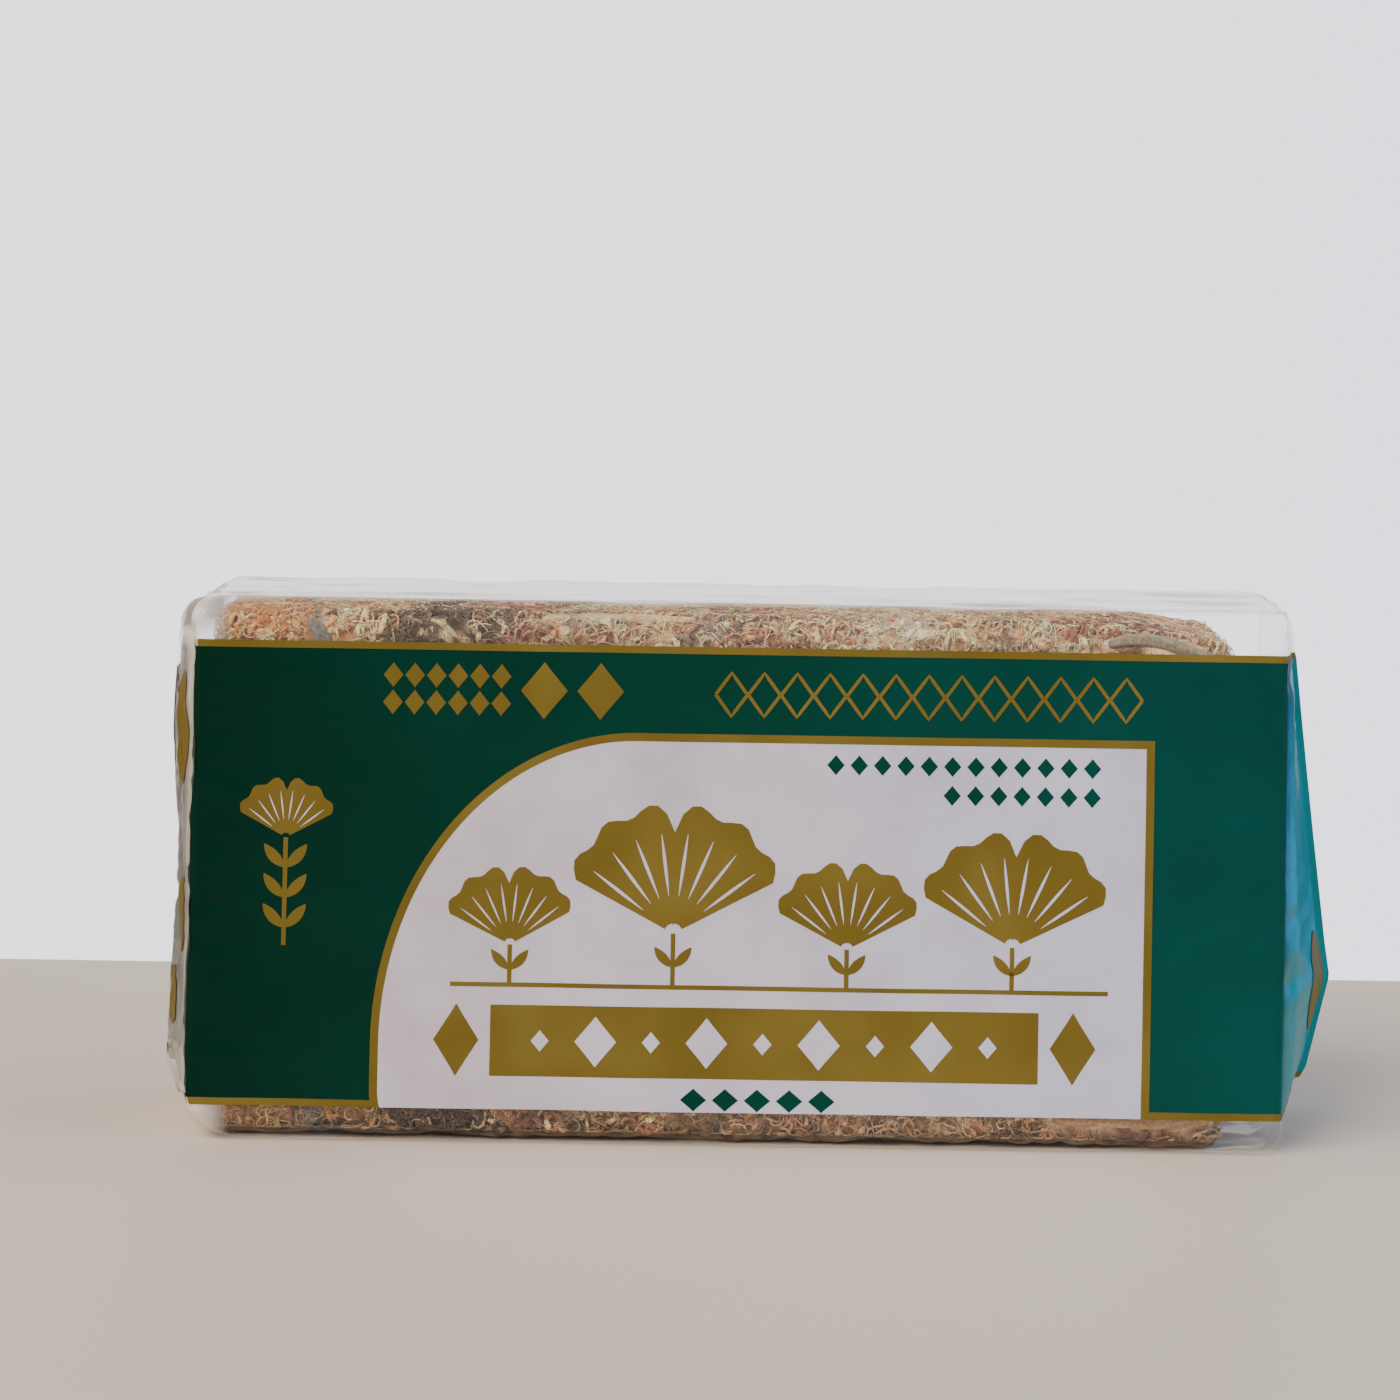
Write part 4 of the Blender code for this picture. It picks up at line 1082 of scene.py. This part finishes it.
def dried_plant(name, grain, depth):
    """Dry plant matter, matt, downy and finely rough: its colour is each point's own."""
    finish, tree, shader = new_finish(
        name,
        Roughness=0.85,
        Specular_IOR_Level=0.25,
        Sheen_Weight=0.3,
        Sheen_Roughness=0.6,
        Sheen_Tint=linear("#fff0dc"),
    )
    place = add(tree, "TexCoord", out="Object")
    shade = add(tree, "Attribute", attribute_name="shade")
    speckle = add(tree, "TexNoise", {"Vector": place, "Scale": 1 / grain, "Detail": 3.0})
    grains = [(0.36, "#ccc2b6"), (0.6, "#ffffff")]
    light = add(tree, "ValToRGB", {0: speckle}, grains)
    both = {SHARE: 1.0, COLOUR_A: shade, COLOUR_B: light}
    mixed = add(tree, "Mix", both, **MULTIPLY)
    tree.links.new(mixed, shader.inputs["Base Color"])
    sockets = {"Strength": 0.6, "Distance": depth, "Height": speckle}
    tree.links.new(add(tree, "Bump", sockets), shader.inputs["Normal"])
    return finish


moss_finish = dried_plant("sphagnum_air_dried", 0.6 * MM, 0.25 * MM)
# Painted shade: the core takes the strands' colours a little darker, for the shade in the gaps
# between them.
CORE_PAINTED_SHADE = 0.96
core_shades = colours_for(core_points, np.random.default_rng(20)) * CORE_PAINTED_SHADE
core = new_piece("moss_core", core_points, [core_faces], moss_finish)
paint(core, core_shades)
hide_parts("moss_block")

# %% [markdown]
# ## Loose straw, twigs and bits
#
# A few other plants went into the bale: a flat pale straw, two woody twigs, a flake of bark
# and a cream sprig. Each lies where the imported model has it, and the strands leave it bare.
# Below, all lengths are in mm: the line's ends, how it bows, and its radii in the middle and at
# the tips. `flat` is its thickness as a share of its width, and `up` points out of the block.

# %% Lines of the plant bits
BITS = {
    "straw_stem": dict(
        start=(-43, -23.6, 116.6), end=(-9, -24.6, 116.8), sag=(0, 0.6, 0.3), sway=(0, 0.5, 0),
        radii=(1.35, 0.8), flat=0.6, up=(0, -0.5, 0.866), slot="straw",
        shades=["#ecd4a6", "#dcbf8c"],
    ),
    "woody_twig": dict(
        start=(82, -26.6, 113.0), end=(108.2, -26.6, 108.8), sag=(0, 0, 2.4), sway=(0, 0, 0.5),
        radii=(1.6, 1.0), flat=0.85, up=(0, -1, 0), slot="twig", shades=["#a59a80", "#8b8069"],
    ),
    "low_stick": dict(
        start=(72, -26.6, 6.6), end=(107, -26.6, 7.4), sag=(0, 0, -0.5), sway=(0, 0, 0.3),
        radii=(1.9, 1.2), flat=0.8, up=(0, -1, 0), slot="stick", shades=["#d6ac7c", "#bf9264"],
    ),
    "bark_flake": dict(
        start=(-94.5, -26.8, 116.0), end=(-90.6, -26.8, 108.6), sag=(1.0, 0, 0), sway=(0, 0, 0),
        radii=(1.9, 0.9), flat=0.42, up=(0, -1, 0), slot="bark", shades=["#8c8781", "#77706a"],
    ),
    "pale_sprig": dict(
        start=(-67.5, -26.8, 116.2), end=(-58.5, -26.8, 108.2), sag=(0.7, 0, 0.7),
        sway=(0, 0, 0.4), radii=(0.7, 0.4), flat=0.8, up=(0, -1, 0), slot="cream_moss",
        shades=["#eddcae", "#dcc794"],
    ),
}
OVER_FROM = -0.6 * MM


def bit_line(form, count):
    """Points from a bit's start to its end: straight, then bowed by `sag` as a parabola and by
    `sway` as one sine wave."""
    t = np.linspace(0, 1, count)[:, None]
    start, end = np.array(form["start"]), np.array(form["end"])
    line = start + (end - start) * t + np.array(form["sag"]) * 4 * t * (1 - t)
    return (line + np.array(form["sway"]) * np.sin(2 * np.pi * t)) * MM + [MIDDLE_X, 0, 0]


def covers_a_bit(paths):
    """True for each path that passes in front of, or over, a loose bit: nearer to its line than
    the bit's radius, and no deeper in the block than its axis."""
    covers = np.zeros(len(paths), bool)
    for form in BITS.values():
        line = bit_line(form, 14)
        up = np.array(form["up"])
        away = paths[:, :, None] - line
        over = away @ up
        beside = np.linalg.norm(away - over[..., None] * up, axis=-1)
        near = (beside < form["radii"][0] * MM) & (over > OVER_FROM)
        covers |= near.any((1, 2))
    return covers


print("loose bits:", ", ".join(BITS))

# %% [markdown]
# ### Strands
#
# All strands of one sort are made at once. A strand's path starts sunk in the core, and lies
# mostly upright, about as its neighbours do, so strands gather into tufts. Its heading turns
# steadily as it goes, which curls it, and its height over the core follows half a sine wave, so
# it arches. The path is the running sum of those steps. A small ring of points is carried along
# it, and its radius swells and shrinks, as the leaves on a branch do.

# %% Places and paths
STRIP_FROM, FOOT_TO, SHOWN_SPAN = 103 * MM, 16 * MM, 5 * MM
TUFT_LAY, SINK = 14 * MM, 1.2 * MM


def shown_share(places):
    """1 where the clear film shows the block, and less under the print and under the foot."""
    z = places[:, 2]
    shown = np.maximum(ease((z - STRIP_FROM) / SHOWN_SPAN), ease((FOOT_TO - z) / SHOWN_SPAN))
    under = ease((9 * MM - z) / (4 * MM)) * (np.abs(places[:, 1]) < 22 * MM)
    return np.maximum(shown - 0.8 * under, 0.05)


def strand_sites(count, draw):
    """Random places on the core's skin with their outward directions: a side is drawn by its
    area and a place on it evenly, and it is kept with the chance shown_share."""
    size = core_high - core_low
    areas = np.repeat([size[1] * size[2], size[2] * size[0], size[0] * size[1]], 2)
    found = []
    while sum(len(f) for f in found) < count:
        side = draw.choice(6, count, p=areas / areas.sum())
        places = draw.uniform(core_low, core_high, (count, 3))
        axis = side // 2
        ends = np.where((side % 2 == 0)[:, None], core_low, core_high)
        rows = np.arange(count)
        places[rows, axis] = ends[rows, axis]
        found.append(places[draw.random(count) < shown_share(places)])
    places = np.concatenate(found)[:count]
    return rounded(places, core_low, core_high, CORE_ROUND)


def strand_paths(places, out, draw, form):
    """Paths of shape (count, rings, 3) for one sort of strand."""
    count, rings = len(places), form["rings"]
    t = np.linspace(0, 1, rings)
    lay = np.pi / 2 + 1.1 * drift(places, TUFT_LAY, 41) + draw.normal(0, 0.55, count)
    turning = draw.uniform(*form["curl"], count) * draw.choice([-1, 1], count)
    wobble = draw.uniform(-0.8, 0.8, count)[:, None]
    wobble = wobble * np.sin(2 * np.pi * (t + draw.random((count, 1))))
    heading = lay[:, None] + turning[:, None] * t + wobble
    guide = np.where(np.abs(out[:, 2:]) < 0.8, [[0.0, 0.0, 1.0]], [[1.0, 0.0, 0.0]])
    first = unit(np.cross(guide, out))
    second = np.cross(out, first)
    step = draw.uniform(*form["length"], count)[:, None, None] * MM / (rings - 1)
    cosine, sine = np.cos(heading)[..., None], np.sin(heading)[..., None]
    move = cosine * first[:, None] + sine * second[:, None]
    flat = np.cumsum(move * step, axis=1)
    flat -= flat.mean(axis=1, keepdims=True)
    top = draw.uniform(*form["crest"], count)[:, None] * MM
    end = draw.uniform(*form["tip"], count)[:, None] * MM
    height = -SINK + (top + SINK) * np.sin(np.pi * t**0.75) + (end + SINK) * t**2
    path = places[:, None] + flat + out[:, None] * height[..., None]
    path[..., 2] -= worn_top(path[..., 0]) * ease((path[..., 2] - BAG_HEIGHT / 2) / UPPER_SPAN)
    return path


def keep_in_block(path):
    """Keep a path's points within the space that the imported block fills."""
    low, high = moss_low + BLOCK_MARGIN, moss_high - BLOCK_MARGIN
    path = np.clip(path, low, high)
    path[..., 2] = np.minimum(path[..., 2], high[2] - worn_top(path[..., 0]))
    return path


# %% [markdown]
# ### Tubes
#
# A strand is a tube with three or four sides: a small ring of points at each step of its path,
# flattened on the side that faces out. All tubes of a sort are one pair of arrays.

# %% Tubes along paths


def tubes(path, radii, flatness, up, sides):
    """Closed tubes along paths: a ring of `sides` points round each path point, at `radii`
    across the path and `flatness` times that along `up`."""
    count, rings = path.shape[:2]
    ahead = unit(np.gradient(path, axis=1))
    across = unit(np.cross(ahead, up[:, None]))
    rise = np.cross(across, ahead)
    turn = 2 * np.pi * (np.arange(sides) + 0.5) / sides
    ring = across[:, :, None] * np.cos(turn)[:, None]
    ring = ring + rise[:, :, None] * (np.sin(turn) * flatness)[:, None]
    points = path[:, :, None] + ring * radii[..., None, None]
    k, j = np.meshgrid(np.arange(rings - 1) * sides, np.arange(sides), indexing="ij")
    after = (j + 1) % sides
    wall = np.stack([k + j, k + sides + j, k + sides + after, k + after], -1).reshape(-1, 4)
    ends = np.stack([np.arange(sides), (rings * sides - 1) - np.arange(sides)])
    first = np.arange(count)[:, None, None] * rings * sides
    faces = [(wall[None] + first).reshape(-1, 4), (ends[None] + first).reshape(-1, sides)]
    return points.reshape(-1, 3), faces


# %% [markdown]
# ### The four sorts
#
# Branches are thick and lie low, curls are thin and stand up, fibres are finer still, and scraps
# are short and broad. Each sort is one mesh, and each has its own seed. Each pair of numbers
# below is the least and the most, in mm, but `curl` is in radians: the strand's length, how high
# its arch and its tip stand over the core, how far it turns, and its radius.

# %% Branches, curls, fibres and scraps
SEED = 7
SORTS = {
    "moss_branches": dict(
        count=4500, sides=3, rings=8, length=(4, 10), crest=(0.4, 1.9), tip=(-0.8, 1.4),
        curl=(0.5, 4.6), radius=(0.24, 0.48), flatness=0.6, leafy=0.36, lighter=1.22,
    ),
    "moss_curls": dict(
        count=4500, sides=3, rings=8, length=(3, 9), crest=(1.2, 2.6), tip=(-0.4, 2.0),
        curl=(0.6, 5.5), radius=(0.1, 0.22), flatness=0.7, leafy=0.25, lighter=1.22,
    ),
    "moss_fibres": dict(
        count=5600, sides=3, rings=6, length=(2.5, 9), crest=(1.6, 2.9), tip=(0.6, 2.7),
        curl=(0.5, 4.0), radius=(0.07, 0.14), flatness=0.8, leafy=0.0, lighter=1.2,
    ),
    "moss_scraps": dict(
        count=3600, sides=4, rings=5, length=(2, 6), crest=(0.5, 2.1), tip=(0.0, 1.8),
        curl=(0.2, 1.8), radius=(0.35, 0.95), flatness=0.3, leafy=0.12, lighter=1.18,
    ),
}


def make_sort(name, form, draw):
    """All strands of one sort as one piece, shade painted at their roots, none over a loose bit.
    """
    places, out = strand_sites(form["count"], draw)
    path = strand_paths(places, out, draw, form)
    radius = draw.uniform(*form["radius"], form["count"])[:, None] * MM
    t = np.linspace(0, 1, form["rings"])
    taper = np.clip(1.25 * np.sin(np.pi * (0.14 + 0.8 * t)) ** 0.6, 0.2, 1)
    leafy = 1 + form["leafy"] * np.where(np.arange(form["rings"]) % 2 == 0, 1, -1)
    path = keep_in_block(path)
    clear = ~covers_a_bit(path)
    path, radius, places, out = path[clear], radius[clear], places[clear], out[clear]
    points, faces = tubes(path, radius * taper * leafy, form["flatness"], out, form["sides"])
    piece = new_piece(name, points, faces, moss_finish)
    # Painted shade: each strand is darker at its root, where it sinks into the core, and full
    # colour from a third of its length on.
    shades = colours_for(places, draw)[:, None] * (0.84 + 0.26 * ease(t * 3))[None, :, None]
    paint(piece, np.repeat((shades * form["lighter"]).reshape(-1, 3), form["sides"], axis=0))


for number, (name, form) in enumerate(SORTS.items()):
    make_sort(name, form, np.random.default_rng(SEED + number))

# %% [markdown]
# ### Plant bits in detail
#
# Each bit is a tube along its line, with finer grooves and a grain that runs along it.

# %% Plant bits
BIT_RINGS, BIT_SIDES = 28, 14
bit_finish = dried_plant("plant_stems_dried", 0.7 * MM, 0.2 * MM)


def bit(name, form):
    """One plant bit: a tube along its line, with ridges round it that wander as they go."""
    rings, sides = BIT_RINGS, BIT_SIDES
    t = np.linspace(0, 1, rings)[:, None]
    line = bit_line(form, rings)
    middle, tip = form["radii"]
    radii = (tip + (middle - tip) * np.sin(np.pi * (0.08 + 0.84 * t[:, 0]))) * MM * 0.97
    radii[[0, -1]] *= 0.55
    up = np.array([form["up"]], float)
    points, faces = tubes(line[None], radii[None], form["flat"], up, sides)
    points = points.reshape(rings, sides, 3)
    turn = 2 * np.pi * np.arange(sides) / sides
    ridges = 1 - 0.09 * (0.5 + 0.5 * np.sin(5 * turn + 3 * t)) - 0.05 * np.sin(19 * t + 2 * turn)
    points = line[:, None] + (points - line[:, None]) * ridges[..., None]
    piece = new_piece(name + "_fine", points.reshape(-1, 3), faces, bit_finish)
    first, second = linears(form["shades"])
    blend = (0.5 + 0.5 * np.sin(4 * turn + 5 * t))[..., None]
    paint(piece, (first + (second - first) * blend).reshape(-1, 3))
    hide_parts(name)


for name, form in BITS.items():
    bit(name, form)
